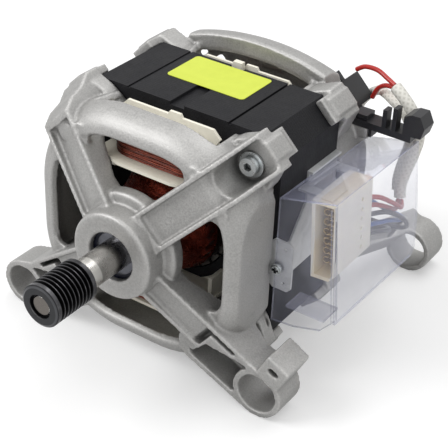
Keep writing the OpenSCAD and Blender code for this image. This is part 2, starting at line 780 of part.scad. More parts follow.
module field_coil() {
    middle = (stack_y0 + stack_y1) / 2;
    path = [for (i = [0:coil_turns * coil_rings])
        let (p = coil_loop[i % coil_rings])
        [p[0], middle + p[1], coil_z0 + wire_d / 2 + coil_pitch * i / coil_rings]];
    skin(rings_along(path, wire_d / 2, 6, [0, 0, 1]));
    winding_core(coil_z0, coil_z0 + wire_d + coil_turns * coil_pitch);
}

module upper_field_coil() {
    color("#a8552c") field_coil();
}

module lower_field_coil() {
    color("#a8552c") rotate([0, 180, 0]) field_coil();
}

// Rotor

bearing_y0 = stack_y0 - front_bearing_depth - front_bearing_w;
bearing_y1 = bearing_y0 + front_bearing_w;
rear_bearing_y0 = stack_y1 + rear_bearing_depth;
spindle_r = shaft_d / 2 + 1.2;

module shaft() {
    color("#cfcfd2") turned() polygon([
        [0, nose_y], [nose_d / 2 - 0.6, nose_y], [nose_d / 2, nose_y + 0.6], [nose_d / 2, pulley_half],
        [shaft_d / 2, pulley_half], [shaft_d / 2, bearing_y1], [spindle_r, bearing_y1 + 0.3],
        [spindle_r, rear_bearing_y0 - 0.3], [rear_shaft_d / 2, rear_bearing_y0 - 0.3],
        [rear_shaft_d / 2, rear_bearing_y0 + rear_bearing_w + 0.8],
        [tail_d / 2, rear_bearing_y0 + rear_bearing_w + 0.8],
        [tail_d / 2, stack_y1 + tail_depth - 0.6], [tail_d / 2 - 0.6, stack_y1 + tail_depth],
        [0, stack_y1 + tail_depth]
    ]);
}

slot_in = 15;
slot_out = armature_d / 2 - 1.6;
module slot_outline() {
    for (k = [0:slot_count - 1]) rotate(360 * k / slot_count)
        polygon([[slot_in, -0.8], [slot_in + 1, -1.1], [slot_out, -slot_w], [slot_out, slot_w],
            [slot_in + 1, 1.1], [slot_in, 0.8]]);
}

module armature_core() {
    color("#8e8e90") slab(stack_y0 + free_gap, stack_y1 - free_gap) difference() {
        circle(armature_d / 2);
        circle(spindle_r + seat_gap);
        slot_outline();
        for (k = [0:slot_count - 1]) rotate(360 * k / slot_count) translate([slot_out - 0.5,
            -0.9]) square([3, 1.8]);
    }
}

module armature_winding() {
    color("#8a4a2b") {
        slab(stack_y0, stack_y1) intersection() {
            slot_outline();
            circle(slot_out - 0.3);
        }
        for (half = [0, 1]) translate([0, half * (stack_y0 + stack_y1), 0]) mirror([0, half,
            0]) turned() polygon([
            [spindle_r + 1.2, stack_y0 + 0.1], [spindle_r + 1.2, stack_y0 - 13], [12, stack_y0 - 16.5],
            [17, stack_y0 - 16.8],
            [22, stack_y0 - 14.5], [26, stack_y0 - 10], [27.4, stack_y0 - 5], [27.6, stack_y0 + 0.1]
        ]);
    }
}

module commutator() {
    color("#b5703c") behind() difference() {
        turned() polygon([
            [spindle_r + seat_gap, commutator_depth - riser_len - 2],
            [commutator_r - 2, commutator_depth - riser_len - 2],
            [commutator_r - 2, commutator_depth - riser_len],
            [commutator_r + 2, commutator_depth - riser_len],
            [commutator_r + 2, commutator_depth], [commutator_r, commutator_depth],
            [commutator_r, commutator_depth + commutator_len],
            [spindle_r + 3, commutator_depth + commutator_len],
            [spindle_r + 3, commutator_depth + commutator_len + 1.2],
            [spindle_r + seat_gap, commutator_depth + commutator_len + 1.2]
        ]);
        for (k = [0:slot_count - 1]) spoke(360 * (k + 0.5) / slot_count)
            block([commutator_r - 1, commutator_depth - riser_len - 0.1, -0.35],
                [commutator_r + 3, commutator_depth + commutator_len + 0.1, 0.35]);
    }
}

pulley_half = groove_count * groove_pitch / 2 + land_w;
module belt_pulley() {
    crest = 0.35;
    root = 0.5;
    color("#a9a9a8") turned() polygon(concat(
        [[nose_d / 2 + seat_gap, -pulley_half + 1.6], [5.9, -pulley_half + 1.6], [5.9, -pulley_half],
         [pulley_r - 1.4, -pulley_half], [pulley_r, -pulley_half + 0.9]],
        [for (k = [0:groove_count - 1]) let (y = (k - groove_count / 2) * groove_pitch) each [
            [pulley_r, y + crest / 2],
            [pulley_r - groove_depth, y + groove_pitch / 2 - root / 2],
            [pulley_r - groove_depth, y + groove_pitch / 2 + root / 2],
            [pulley_r, y + groove_pitch - crest / 2]
        ]],
        [[pulley_r, pulley_half - 0.6], [pulley_r - 0.6, pulley_half - seat_gap],
        [nose_d / 2 + seat_gap, pulley_half - seat_gap]]
    ));
}

module tacho_magnet() {
    color("#3b3b40") behind() tube(11, tail_d / 2 + seat_gap, rear_hub_depth + 0.6,
        rear_hub_depth + 0.6 + magnet_len);
}

// Ball bearings

function ball_r(bore, od) = 0.149 * (od - bore);
function pitch_r(bore, od) = (od + bore) / 4;

module ball_track(bore, od, w) {
    translate([pitch_r(bore, od), w / 2]) circle(ball_r(bore, od) + run_gap);
}

module bearing_outer_ring(bore, od, w) {
    lip = pitch_r(bore, od) + 0.62 * ball_r(bore, od);
    turned() difference() {
        translate([lip, 0]) square([od / 2 - lip, w]);
        ball_track(bore, od, w);
        for (y = [-0.01, w - 0.99]) translate([lip - 1, y]) square([1.5, 1]);
    }
}

module bearing_inner_ring(bore, od, w) {
    lip = pitch_r(bore, od) - 0.62 * ball_r(bore, od);
    turned() difference() {
        translate([bore / 2 + seat_gap / 2, 0]) square([lip - bore / 2 - seat_gap / 2, w]);
        ball_track(bore, od, w);
    }
}

module bearing_balls(bore, od, w) {
    for (k = [0:ball_count - 1]) spoke(360 * k / ball_count)
        translate([pitch_r(bore, od), w / 2, 0]) sphere(ball_r(bore, od), $fn = 48);
}

module bearing_cage(bore, od, w) {
    difference() {
        tube(pitch_r(bore, od) + 1.1, pitch_r(bore, od) - 1.1, w / 2 - 1.8, w / 2 + 3.7);
        for (k = [0:ball_count - 1]) spoke(360 * k / ball_count)
            translate([pitch_r(bore, od) - 3, w / 2, 0]) rotate([0, 90, 0]) cylinder(r = ball_r(bore,
                od) + 0.12, h = 6);
    }
}

module bearing_seals(bore, od, w) {
    low = pitch_r(bore, od) - 0.62 * ball_r(bore, od) + 0.15;
    high = pitch_r(bore, od) + 0.62 * ball_r(bore, od) + 0.5 - seat_gap;
    tube(high, low, 0.1, 0.95);
    tube(high, low, w - 0.95, w - 0.1);
}

module at_front_bearing() translate([0, bearing_y0, 0]) children();
module at_rear_bearing() translate([0, rear_bearing_y0, 0]) children();

module front_bearing_outer_ring() {
    color("#c6c7ca") at_front_bearing() bearing_outer_ring(shaft_d, front_bearing_od, front_bearing_w);
}
module front_bearing_inner_ring() {
    color("#c6c7ca") at_front_bearing() bearing_inner_ring(shaft_d, front_bearing_od, front_bearing_w);
}
module front_bearing_balls() {
    color("#dcdde0") at_front_bearing() bearing_balls(shaft_d, front_bearing_od, front_bearing_w);
}
module front_bearing_cage() {
    color("#a89a78") at_front_bearing() bearing_cage(shaft_d, front_bearing_od, front_bearing_w);
}
module front_bearing_seals() {
    color("#24283a") at_front_bearing() bearing_seals(shaft_d, front_bearing_od, front_bearing_w);
}
module rear_bearing_outer_ring() {
    color("#c6c7ca") at_rear_bearing() bearing_outer_ring(rear_shaft_d, rear_bearing_od, rear_bearing_w);
}
module rear_bearing_inner_ring() {
    color("#c6c7ca") at_rear_bearing() bearing_inner_ring(rear_shaft_d, rear_bearing_od, rear_bearing_w);
}
module rear_bearing_balls() {
    color("#dcdde0") at_rear_bearing() bearing_balls(rear_shaft_d, rear_bearing_od, rear_bearing_w);
}
module rear_bearing_cage() {
    color("#a89a78") at_rear_bearing() bearing_cage(rear_shaft_d, rear_bearing_od, rear_bearing_w);
}
module rear_bearing_seals() {
    color("#24283a") at_rear_bearing() bearing_seals(rear_shaft_d, rear_bearing_od, rear_bearing_w);
}

// Speed sensor behind the rear bearing

module tacho_coil() {
    color("#8c4526") behind() tube(16.4, 12.2, rear_hub_depth + seat_gap, rear_hub_depth + magnet_len);
}

module tacho_cap() {
    color("#232326") behind() difference() {
        turned() polygon([
            [0, rear_hub_depth + magnet_len + 2.6], [16.6, rear_hub_depth + magnet_len + 2.6],
            [16.6, rear_hub_depth + seat_gap], [18.4, rear_hub_depth + seat_gap],
            [18.4, rear_hub_depth + magnet_len + 3.6], [17.6, rear_hub_depth + magnet_len + 4.4],
            [0, rear_hub_depth + magnet_len + 4.4]
        ]);
        block([14, rear_hub_depth + 2, -2.2], [20, rear_hub_depth + 6, 2.2]);
    }
}

// Fasteners

module pan_head(r, h) {
    difference() {
        union() {
            rod(r, -h + 0.8, 0);
            rod(r - 0.8, -h, -h + 0.81);
        }
        for (turn = [0, 90]) rotate([0, turn, 0]) block([-0.7, -h - 1, -r * 0.62],
            [0.7, -h + 1.3, r * 0.62]);
    }
}

// A bolt with its washer, under the head of which lies the origin
module clamping_bolt(length) {
    rod(bolt_d / 2, -2, length);
    rod(washer_r, -washer_t, 0);
    difference() {
        rod(bolt_head_r, -washer_t - bolt_head_h, -washer_t + 0.01);
        rod(2.1, -washer_t - bolt_head_h - 0.1, -washer_t - 0.8, $fn = 6);
    }
}
washer_r = 6.2;
washer_t = 1.2;
bolt_head_r = 4.3;
bolt_head_h = 3;

module clamping_bolts() {
    color("#b9b4a4") {
        for (angle = [-45, 45, 225]) spoke(angle) translate([bolt_r, stack_y0 - boss_depth - seat_gap, 0])
            clamping_bolt(stack_len + 2 * boss_depth);
        spoke(135) translate([bolt_r, stack_y1 + rear_boss_depth - 2 + seat_gap, 0]) mirror([0, 1, 0])
            clamping_bolt(rear_boss_depth - 2 + stack_len + bolt_thread_depth);
    }
}

module bracket_screw() {
    color("#c3bfae") from_lugs() translate([bracket_screw_x, cover_y - seat_gap, bracket_screw_z]) {
        pan_head(2.8, 2.2);
        rod(1.4, -1, 5);
    }
}

module brush_holder_screws() {
    color("#c3bfae") behind() for (angle = [45, 225], side = [-1, 1]) spoke(angle)
        translate([(ear_in + ear_out) / 2, seat_depth + 3 + 2 * seat_gap, side * ear_screw_t]) {
            mirror([0, 1, 0]) pan_head(2.2, 2);
            rod(1.4, -10, 1);
        }
}

// Brush gear

module brush_holder(angle) {
    behind() spoke(angle) difference() {
        union() {
            block([holder_in, holder_d0, -holder_half_t + 2], [holder_out, holder_d1, holder_half_t - 2]);
            block([ear_in - 6, holder_d0, -holder_half_t], [holder_out, holder_d1, holder_half_t]);
            block([ear_in, seat_depth + seat_gap, -ear_half + 1], [ear_out, seat_depth + 3, ear_half - 1]);
        }
        block([holder_in - 1, brush_depth - brush_w / 2 - slide_gap, -brush_t / 2 - slide_gap],
              [spring_out, brush_depth + brush_w / 2 + slide_gap, brush_t / 2 + slide_gap]);
        for (side = [-1, 1]) rod_across(1.6, seat_depth - 1, seat_depth + 4, (ear_in + ear_out) / 2,
            side * ear_screw_t);
        // The slot that the brush lead travels in
        block([brush_out - 8, holder_d1 - holder_wall - 1, -1.2], [spring_out - 1, holder_d1 + 1, 1.2]);
    }
}

// A rod along the shaft, placed by its distance out and across inside a spoke
module rod_across(r, y0, y1, out, across) {
    translate([out, y0, across]) rotate([-90, 0, 0]) cylinder(r = r, h = y1 - y0);
}

module brush(angle) {
    behind() spoke(angle) difference() {
        block([brush_in - 3, brush_depth - brush_w / 2, -brush_t / 2],
            [brush_out, brush_depth + brush_w / 2, brush_t / 2]);
        rod(brush_in, 0, rear_hub_depth);
    }
}

spring_turns = 8;
spring_r = 1.9;
spring_wire = 0.5;
module brush_spring(angle) {
    steps = 8 * spring_turns;
    length = spring_out - brush_out - spring_wire - 2 * seat_gap;
    path = [for (i = [0:steps])
        [brush_out + seat_gap + spring_wire / 2 + length * i / steps,
        brush_depth + spring_r * cos(45 * i), spring_r * sin(45 * i)]];
    behind() spoke(angle) skin(rings_along(path, spring_wire / 2, 6, [1, 0, 0]));
}
echo("gap between two turns of a brush spring",
    (spring_out - brush_out - spring_wire) / spring_turns - spring_wire);

module right_brush_holder() {
    color("#26262a") brush_holder(45);
}
module left_brush_holder() {
    color("#26262a") brush_holder(225);
}
module right_brush() {
    color("#3a3836") brush(45);
}
module left_brush() {
    color("#3a3836") brush(225);
}
module right_brush_spring() {
    color("#b9bcc0") brush_spring(45);
}
module left_brush_spring() {
    color("#b9bcc0") brush_spring(225);
}

// Terminal bracket, block and cover. Their places along the shaft are measured from the lug face.

module from_lugs() {
    translate([0, lug_face_y, 0]) children();
}

// An outline in Y and Z between two places across the motor
module sheet_x(x0, x1) {
    translate([x0, 0, 0]) rotate([90, 0, 90]) linear_extrude(x1 - x0) children();
}

module terminal_bracket() {
    color("#bcb9ab") from_lugs() difference() {
        union() {
            // The wall against the stack, and the fold over the cover
            sheet_x(bracket_x, bracket_x + bracket_t) polygon([
                [foot_y, foot_z0], [foot_y, 0], [45, 0], [57, 16], [57, 32], [83, 32], [83, -18],
                [40, foot_z0]
            ]);
            block([bracket_x, 57, 32 - bracket_t], [stack_w / 2 + 3.1, 83, 32]);
            // The ledge that carries the block
            block([bracket_x, 50, ledge_z - bracket_t], [block_x - block_w / 2 - 2.2, 83, ledge_z]);
            // The foot in front of the stack
            slab(foot_y, foot_y + bracket_t) polygon([
                [foot_x0, foot_z0 + 2], [foot_x0 + 2, foot_z0], [foot_x1 - 2, foot_z0],
                [foot_x1, foot_z0 + 2],
                [foot_x1, foot_z1 - 2], [foot_x1 - 2, foot_z1], [foot_x0 + 2, foot_z1],
                [foot_x0, foot_z1 - 2]
            ]);
        }
        rod(1.5, foot_y - 1, foot_y + 4, bracket_screw_x, bracket_screw_z);
        for (z = [-15, 3.6]) rod(0.9, foot_y - 1, foot_y + 4, foot_x0 + 7.9, z);
        block([foot_x0 + 6.5, 56, ledge_z - 4], [foot_x1 - 0.5, 76, ledge_z + 1]);
    }
}

module at_block() {
    from_lugs() translate([block_x, block_y, block_z]) rotate([0, -lean, 0]) children();
}

module terminal_block() {
    half_w = block_w / 2;
    half_h = block_h / 2;
    color("#f0efe9") at_block() difference() {
        union() {
            difference() {
                block([-half_w, 0, -half_h], [half_w, block_depth, half_h]);
                // Chamfered lower corner
                translate([half_w, -1, -half_h]) rotate([0, 45, 0]) block([-2.4, 0, -2.4],
                    [2.4, block_depth + 2, 2.4]);
            }
            // The latch hook over the top
            block([-3, 2, half_h - 0.1], [3, 16, half_h + 0.6]);
            // The rail that hangs under the bracket's ledge
            block([-half_w - 5, 16, half_h - 14], [-half_w + 0.5, block_depth - 1, half_h - 7.6]);
        }
        // The socket
        block([-half_w + 1.8, -1, -half_h + 1.8], [half_w - 1.2, 18, half_h - 1.8]);
        // Ways for the leads at the back
        for (k = [0:terminal_count - 1]) translate([0, 0,
            (k - (terminal_count - 1) / 2) * terminal_pitch]) {
            block([-2.6, 22, -2.2], [2.6, block_depth + 1, 2.2]);
            block([-0.45, 17, -1.75], [0.45, 23, 1.75]);
            // Test hole in the outer side
            translate([half_w - 1, 24, 0]) rotate([0, 90, 0]) cylinder(r = 1.1, h = 2);
        }
    }
}

roll_r = 1.75;
roll_x = 1.3;
roll_y = 5.2;

module terminals() {
    color("#c9a24c") at_block() for (k = [0:terminal_count - 1])
        translate([0, 0, (k - (terminal_count - 1) / 2) * terminal_pitch]) {
            // The rolled sleeve that takes a blade of the plug
            difference() {
                for (x = [-roll_x, roll_x]) rod(roll_r, roll_y, 15.6, x);
                for (x = [-roll_x, roll_x]) rod(roll_r - 0.4, roll_y - 1, 14.4, x);
                block([-0.35, roll_y - 1, 0], [0.35, 14.4, 3]);
            }
            block([-0.4, 15, -1.7], [0.4, 25, 1.7]);
            block([-1.4, 24.5, -1.7], [1.4, 26.5, 1.7]);
        }
}

module cover_profile(wall) {
    polygon([
        cover_top[0] + [-5, -1.2 - wall], cover_top[1] + [-wall * 0.9, -wall], cover_low + [-wall, 0],
        [cover_low[0] - wall, -50], [cover_top[0][0] - 5, -50]
    ]);
}

// The whole cover tips down a little towards the back
module cover_tilt() {
    translate([0, cover_y, cover_top[1][1]]) rotate([-1.4, 0, 0]) translate([0, -cover_y,
        -cover_top[1][1]]) children();
}

module clear_cover() {
    color([0.88, 0.92, 0.95, 0.45]) from_lugs() difference() {
        union() {
            cover_tilt() intersection() {
                difference() {
                    slab(cover_y + 0.2, cover_y + cover_len + 3) cover_profile(0);
                    slab(cover_y - 1, cover_y + cover_len + 4) cover_profile(cover_t);
                }
                sheet_x(cover_x0, cover_low[0] + 2) polygon([
                    [cover_y, 38], [cover_y + cover_len - 3, 38], [cover_y + cover_len, -4],
                    [cover_y + cover_len - 1, -21],
                    [cover_y + cover_len - 5, -24.6], [cover_y, -24]
                ]);
            }
            // The front panel
            slab(cover_y, cover_y + cover_t) intersection() {
                cover_profile(0);
                translate([cover_low[0], 0]) polygon([[cover_x0 - cover_low[0], 40], [7.7, 40], [7.7, -20],
                    [0, -22.2], [-8.2, -31.9], [-22.3, -36], [cover_x0 - cover_low[0], -37.1]]);
            }
            // The lip along the front corner, and the flap folded back below
            slab(cover_y - 0.5, cover_y + 0.1) polygon([
                cover_top[1] + [-2.3, -3.2], cover_top[1] + [-0.3, -1.2],
                cover_low + [-0.3, 2], cover_low + [-2.7, 0]
            ]);
            block([cover_low[0] - 27.5, cover_y, -27], [cover_low[0] - 6.9, cover_y + 14, -26]);
        }
        // Clear of the rear shield
        block([cover_x0 - 1, 82.5, 0], [stack_w / 2 + 3.4, cover_y + cover_len + 4, 40]);
        // The way in for the plug
        at_block() block([-block_w / 2 - 0.4, -20, -block_h / 2 - 0.4],
            [block_w / 2 + 0.4, 1, block_h / 2 - 0.6]);
        rod(1.6, cover_y - 1, cover_y + 3, bracket_screw_x, bracket_screw_z);
    }
}

module blank_label() {
    color("#d6d5cf") translate([0, 0, stack_h / 2 + seat_gap]) linear_extrude(0.25)
        translate([-1.5, lug_face_y + 68]) rounded(44, 26, 2);
}

module lead_guide() {
    y0 = stack_y1 + guide_depth;
    y1 = y0 + guide_w;
    color("#222225") {
        block([guide_x0 - 3, y0, guide_z + seat_gap], [86, y1, guide_z + 3.4]);
        slab(y0, y1) polygon([[81.5, 41], [91, 41.6], [92.4, 47], [89.6, 52.6], [85, 52.4], [81.5, 50.6]]);
        for (p = [[70.4, 50.6], [75.6, 53]]) block([p[0], y0, guide_z + 3], [p[0] + 2.2, y0 + 5, p[1]]);
        block([guide_x0 + 5 + seat_gap, y0 + 2, guide_z - 5], [guide_x0 + 6.6, y1 - 2, guide_z + 1]);
        block([guide_x0 - 3, y0 + 1, guide_z + 3], [guide_x0 + 4, y1 - 1, guide_z + 6]);
    }
}

// Leads. Places picked by hand, in X, Y from the lug face and Z.

module lead(points, r, sides, steps) {
    from_lugs() skin(rings_along(curve(points, steps), r, sides, [0.21, 0.13, 0.97]));
}

// The thick sleeve over the guide and down behind the cover
brush_sleeve_route = [
    [67.5, 117, 55], [72, 115.6, 52.5], [77.5, 114.6, 48], [82, 114.3, 42], [84, 114.2, 34],
    [82.6, 114.2, 25],
    [80, 114.2, 15], [78.4, 113.6, 6], [79.4, 112.4, 0]
];
tacho_sleeve_route = [
    [18.7, 157.4, 0], [21.2, 157.3, 0.6], [24.4, 156.3, 4.4], [28, 154, 11.4], [35.6, 146.6, 25],
    [43, 140.4, 34.6], [50.6, 133.8, 41.6],
    [58, 126.6, 45], [65, 121.6, 45],
    [71.6, 119.6, 42.4], [76.2, 119.2, 36], [77.2, 119.2, 27], [75.4, 119, 17], [74, 118.4, 7],
    [75, 117, 0.6]
];

module brush_sleeve() {
    color("#eceae3") lead(brush_sleeve_route, sleeve_d / 2, 10, 2);
}

module tacho_sleeve() {
    color("#e6e4dc") lead(tacho_sleeve_route, sleeve_d / 2 - 0.6, 10, 2);
}

// From the right brush holder into the sleeve, and from the sleeve to the block
module red_leads() {
    color("#b3241c") {
        lead([[41.5, 125.6, 53.4], [47, 124, 57], [55, 121.4, 58.4], [62, 118.8, 57],
            [66.6, 117.4, 55.6]], lead_d / 2, 8, 2);
        lead([[52.4, 124.2, 42], [55.6, 122.6, 48.4], [60.6, 120.4, 52.4],
            [66.4, 118.6, 53.6]], lead_d / 2, 8, 2);
        lead([[79.2, 111.2, -1.2], [81, 105, -2.6], [82.2, 94, 4], [81, 82, 11],
            [79.3, 71.3, 14.2]], lead_d / 2, 8, 2);
        lead([[80.6, 112, -1.6], [83.8, 105, -0.6], [84.2, 94, 7.4], [82.2, 82, 15.6],
            [79, 71.3, 19.2]], lead_d / 2, 8, 2);
    }
}

module blue_lead() {
    color("#2f5fa8") lead([
        [79.9, 71.3, 4.2], [81.4, 80, 1.4], [83.9, 92, -1.8], [83.8, 103, -7], [82.4, 113, -12],
        [76, 121, -16], [64, 127, -19],
        [50, 131, -19], [38, 132, -18]
    ], lead_d / 2, 8, 2);
}

module dark_leads() {
    color("#2c2c30") {
        lead([
            [79.6, 71.3, 9.2], [80.4, 78, 7.4], [84, 90, 4], [87.2, 102, -4.6], [85.6, 111, -14],
            [77, 117, -21], [64, 120, -24], [52, 121, -25]
        ], lead_d / 2, 8, 2);
        lead([
            [80.3, 71.3, -0.8], [81, 79, -3.4], [82.4, 90, -7.4], [81, 101, -12.6], [75, 107.4, -17],
            [66, 106, -20.4], [55, 102.4, -21], [46, 98, -19.4]
        ], lead_d / 2, 8, 2);
    }
}

front_end_shield();
rear_end_shield();
stator_stack();
upper_bobbin();
lower_bobbin();
upper_field_coil();
lower_field_coil();
shaft();
armature_core();
armature_winding();
commutator();
belt_pulley();
tacho_magnet();
front_bearing_outer_ring();
front_bearing_inner_ring();
front_bearing_balls();
front_bearing_cage();
front_bearing_seals();
rear_bearing_outer_ring();
rear_bearing_inner_ring();
rear_bearing_balls();
rear_bearing_cage();
rear_bearing_seals();
tacho_coil();
tacho_cap();
clamping_bolts();
right_brush_holder();
left_brush_holder();
right_brush();
left_brush();
right_brush_spring();
left_brush_spring();
brush_holder_screws();
terminal_bracket();
bracket_screw();
terminal_block();
terminals();
clear_cover();
blank_label();
lead_guide();
red_leads();
blue_lead();
dark_leads();
tacho_sleeve();
brush_sleeve();
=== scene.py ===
import bmesh
import bpy
import math
import random
from mathutils import Matrix, Vector


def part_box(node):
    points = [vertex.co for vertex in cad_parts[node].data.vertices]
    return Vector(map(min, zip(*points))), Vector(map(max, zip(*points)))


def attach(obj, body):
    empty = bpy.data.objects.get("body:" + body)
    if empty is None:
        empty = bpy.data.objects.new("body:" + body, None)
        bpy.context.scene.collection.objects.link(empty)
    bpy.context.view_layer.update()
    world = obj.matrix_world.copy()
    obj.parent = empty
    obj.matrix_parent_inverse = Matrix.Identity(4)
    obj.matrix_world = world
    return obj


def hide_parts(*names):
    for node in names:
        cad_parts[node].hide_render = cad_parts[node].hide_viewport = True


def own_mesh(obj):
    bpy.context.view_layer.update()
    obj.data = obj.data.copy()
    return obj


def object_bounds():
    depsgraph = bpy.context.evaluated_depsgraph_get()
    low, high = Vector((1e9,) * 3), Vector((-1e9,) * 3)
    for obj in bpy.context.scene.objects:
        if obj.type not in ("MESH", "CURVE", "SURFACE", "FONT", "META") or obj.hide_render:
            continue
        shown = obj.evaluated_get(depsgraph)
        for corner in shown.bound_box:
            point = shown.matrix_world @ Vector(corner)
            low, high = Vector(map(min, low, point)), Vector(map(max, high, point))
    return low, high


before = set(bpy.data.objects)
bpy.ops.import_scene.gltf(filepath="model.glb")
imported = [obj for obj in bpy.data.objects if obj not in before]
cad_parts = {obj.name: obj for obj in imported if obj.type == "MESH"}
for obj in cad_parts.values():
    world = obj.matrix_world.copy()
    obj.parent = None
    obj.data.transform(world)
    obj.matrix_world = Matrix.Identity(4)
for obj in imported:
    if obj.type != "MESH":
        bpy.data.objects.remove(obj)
cad_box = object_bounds()
MM = 0.001

# Camera: a long lens in front of the pulley, to the right of it and above it. Its place and its angles
# follow the photograph's view.
azimuth, elevation, roll = (math.radians(angle) for angle in (33.22, 32.73, 2.66))
camera_at = Vector((0.2876, -0.3126, 0.3085))
backward = Vector((math.sin(azimuth) * math.cos(elevation), -math.cos(azimuth) * math.cos(elevation),
                   math.sin(elevation)))
level = Vector((math.cos(azimuth), math.sin(azimuth), 0))
upward = backward.cross(level)
camera_x = math.cos(roll) * level + math.sin(roll) * upward
camera_y = math.cos(roll) * upward - math.sin(roll) * level
camera = bpy.data.objects.new("camera", bpy.data.cameras.new("camera"))
bpy.context.scene.collection.objects.link(camera)
camera.data.lens = 96.76
camera.data.sensor_width = 36
turned = Matrix((camera_x, camera_y, backward)).transposed()
camera.matrix_world = Matrix.Translation(camera_at) @ turned.to_4x4()
bpy.context.scene.camera = camera
bpy.context.scene.view_settings.view_transform = "Standard"

# Studio: a pale floor that keeps the motor's shadow, a white surround and three soft lamps. The camera and
# the clear sheet see the surround as plain white, and metal mirrors it a little darker.
floor_z = min(corner[2] for corner in cad_box)


def linear(code):
    """An sRGB hex colour as linear red, green, blue and alpha."""
    parts = [int(code[i:i + 2], 16) / 255 for i in (0, 2, 4)]
    return tuple(p / 12.92 if p <= 0.04045 else ((p + 0.055) / 1.055) ** 2.4 for p in parts) + (1.0,)


def add(tree, kind, sockets=(), **settings):
    """A node with its settings, and its sockets filled with a value or linked to an output.

    A socket goes by its name, or by its number where names repeat. In a Mix of colours 0 is the share, and
    6 and 7 are the colours. In a Map Range 1 and 2 are the range that is read, 3 and 4 the one it becomes.
    """
    made = tree.nodes.new(kind)
    for name, value in settings.items():
        setattr(made, name, value)
    for name, value in dict(sockets).items():
        if isinstance(value, bpy.types.NodeSocket):
            tree.links.new(value, made.inputs[name])
        else:
            made.inputs[name].default_value = value
    return made


surround = bpy.data.worlds.new("surround")
surround.use_nodes = True
bpy.context.scene.world = surround
sky = surround.node_tree
sky.nodes.clear()
ray = add(sky, "ShaderNodeLightPath")
seen = add(sky, "ShaderNodeMath", {0: ray.outputs["Is Camera Ray"], 1: ray.outputs["Is Transmission Ray"]},
           operation="MAXIMUM")
ambient = add(sky, "ShaderNodeBackground", {"Color": linear("FFFFFF"), "Strength": 0.55})
glossy = add(sky, "ShaderNodeBackground", {"Color": linear("FFFFFF"), "Strength": 0.75})
white = add(sky, "ShaderNodeBackground", {"Color": linear("FFFFFF"), "Strength": 1.0})
mirror_mix = add(sky, "ShaderNodeMixShader",
                 {0: ray.outputs["Is Glossy Ray"], 1: ambient.outputs[0], 2: glossy.outputs[0]})
sky_mix = add(sky, "ShaderNodeMixShader",
              {0: seen.outputs[0], 1: mirror_mix.outputs[0], 2: white.outputs[0]})
add(sky, "ShaderNodeOutputWorld", {"Surface": sky_mix.outputs[0]})

mesh = bpy.data.meshes.new("floor")
shape = bmesh.new()
bmesh.ops.create_grid(shape, x_segments=1, y_segments=1, size=6)
bmesh.ops.translate(shape, vec=(0, 0, floor_z), verts=shape.verts)
shape.to_mesh(mesh)
shape.free()
floor = bpy.data.objects.new("floor", mesh)
bpy.context.scene.collection.objects.link(floor)
paper = bpy.data.materials.new("matt_white_paper")
paper.use_nodes = True
tree = paper.node_tree
tree.nodes.clear()
ray = add(tree, "ShaderNodeLightPath")
matt = add(tree, "ShaderNodeBsdfDiffuse", {"Color": linear("DCDCDC")})
glow = add(tree, "ShaderNodeEmission", {"Color": linear("FFFFFF"), "Strength": 0.34})
lifted = add(tree, "ShaderNodeAddShader", {0: matt.outputs[0], 1: glow.outputs[0]})
floor_mix = add(tree, "ShaderNodeMixShader",
                {0: ray.outputs["Is Camera Ray"], 1: matt.outputs[0], 2: lifted.outputs[0]})
add(tree, "ShaderNodeOutputMaterial", {"Surface": floor_mix.outputs[0]})
mesh.materials.append(paper)

motor_middle = Vector((0, 0.09, 0))
for name, at, size, power in (("key_lamp", (-0.7, -0.6, 0.95), 0.7, 9.5),
                              ("fill_lamp", (1.0, -0.55, 0.5), 0.8, 1.4),
                              ("top_lamp", (0.15, 0.5, 1.3), 0.9, 6.0)):
    lamp = bpy.data.objects.new(name, bpy.data.lights.new(name, "AREA"))
    lamp.data.size = size
    lamp.data.energy = power
    bpy.context.scene.collection.objects.link(lamp)
    facing = (Vector(at) - motor_middle).to_track_quat("Z", "Y").to_matrix()
    lamp.matrix_world = Matrix.Translation(at) @ facing.to_4x4()


def finish(name):
    """A new material, with its node tree, its main shader and the piece's own coordinates."""
    material = bpy.data.materials.new(name)
    material.use_nodes = True
    tree = material.node_tree
    tree.nodes.clear()
    shader = add(tree, "ShaderNodeBsdfPrincipled")
    add(tree, "ShaderNodeOutputMaterial", {"Surface": shader.outputs[0]})
    return material, tree, shader, add(tree, "ShaderNodeTexCoord").outputs["Object"]


def paint(material, *names):
    """Gives a finish to CAD nodes whose shape is right as it is."""
    for node_name in names:
        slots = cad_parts[node_name].data.materials
        slots.clear()
        slots.append(material)


# End shields: pressure die cast aluminium, shot blasted, which leaves a fine sandy skin with a soft sheen
# and rounds every edge. The ridges are painted lighter, partly for wear and partly as painted highlight,
# and the creases and hollows darker, as painted shade. Each is its CAD node with its edges eased, and in
# the front one a thin lip narrows the hub's mouth and a web closes the wall behind the flat beside the ring.
cast_grid = 0.75
cast_easing = 3
cast_faces_kept = 0.4
lip_inner, lip_outer = 12.3, 16.0
lip_front_y, lip_back_y = 34.1, 37.7
wall_web = ((53.65, 57.0), (54.6, 56.6), (56.76, 59.5), (56.76, 75.0), (53.65, 75.0))
wall_web_half = 24.3
material, tree, shader, place = finish("blasted_cast_aluminium")
patches = add(tree, "ShaderNodeTexNoise", {"Vector": place, "Scale": 1 / (16 * MM), "Detail": 4.0})
sand = add(tree, "ShaderNodeTexNoise", {"Vector": place, "Scale": 1 / (0.8 * MM), "Detail": 3.0,
                                        "Roughness": 0.65})
tone = add(tree, "ShaderNodeMix", {0: patches.outputs[0], 6: linear("C2C1BF"), 7: linear("ABAAA8")},
           data_type="RGBA")
grit = add(tree, "ShaderNodeMapRange", {"Value": sand.outputs[0], 1: 0.3, 2: 0.7, 3: 0.78, 4: 1.14})
toned = add(tree, "ShaderNodeMix", {0: 1.0, 6: tone.outputs[2], 7: grit.outputs[0]}, data_type="RGBA",
            blend_type="MULTIPLY")
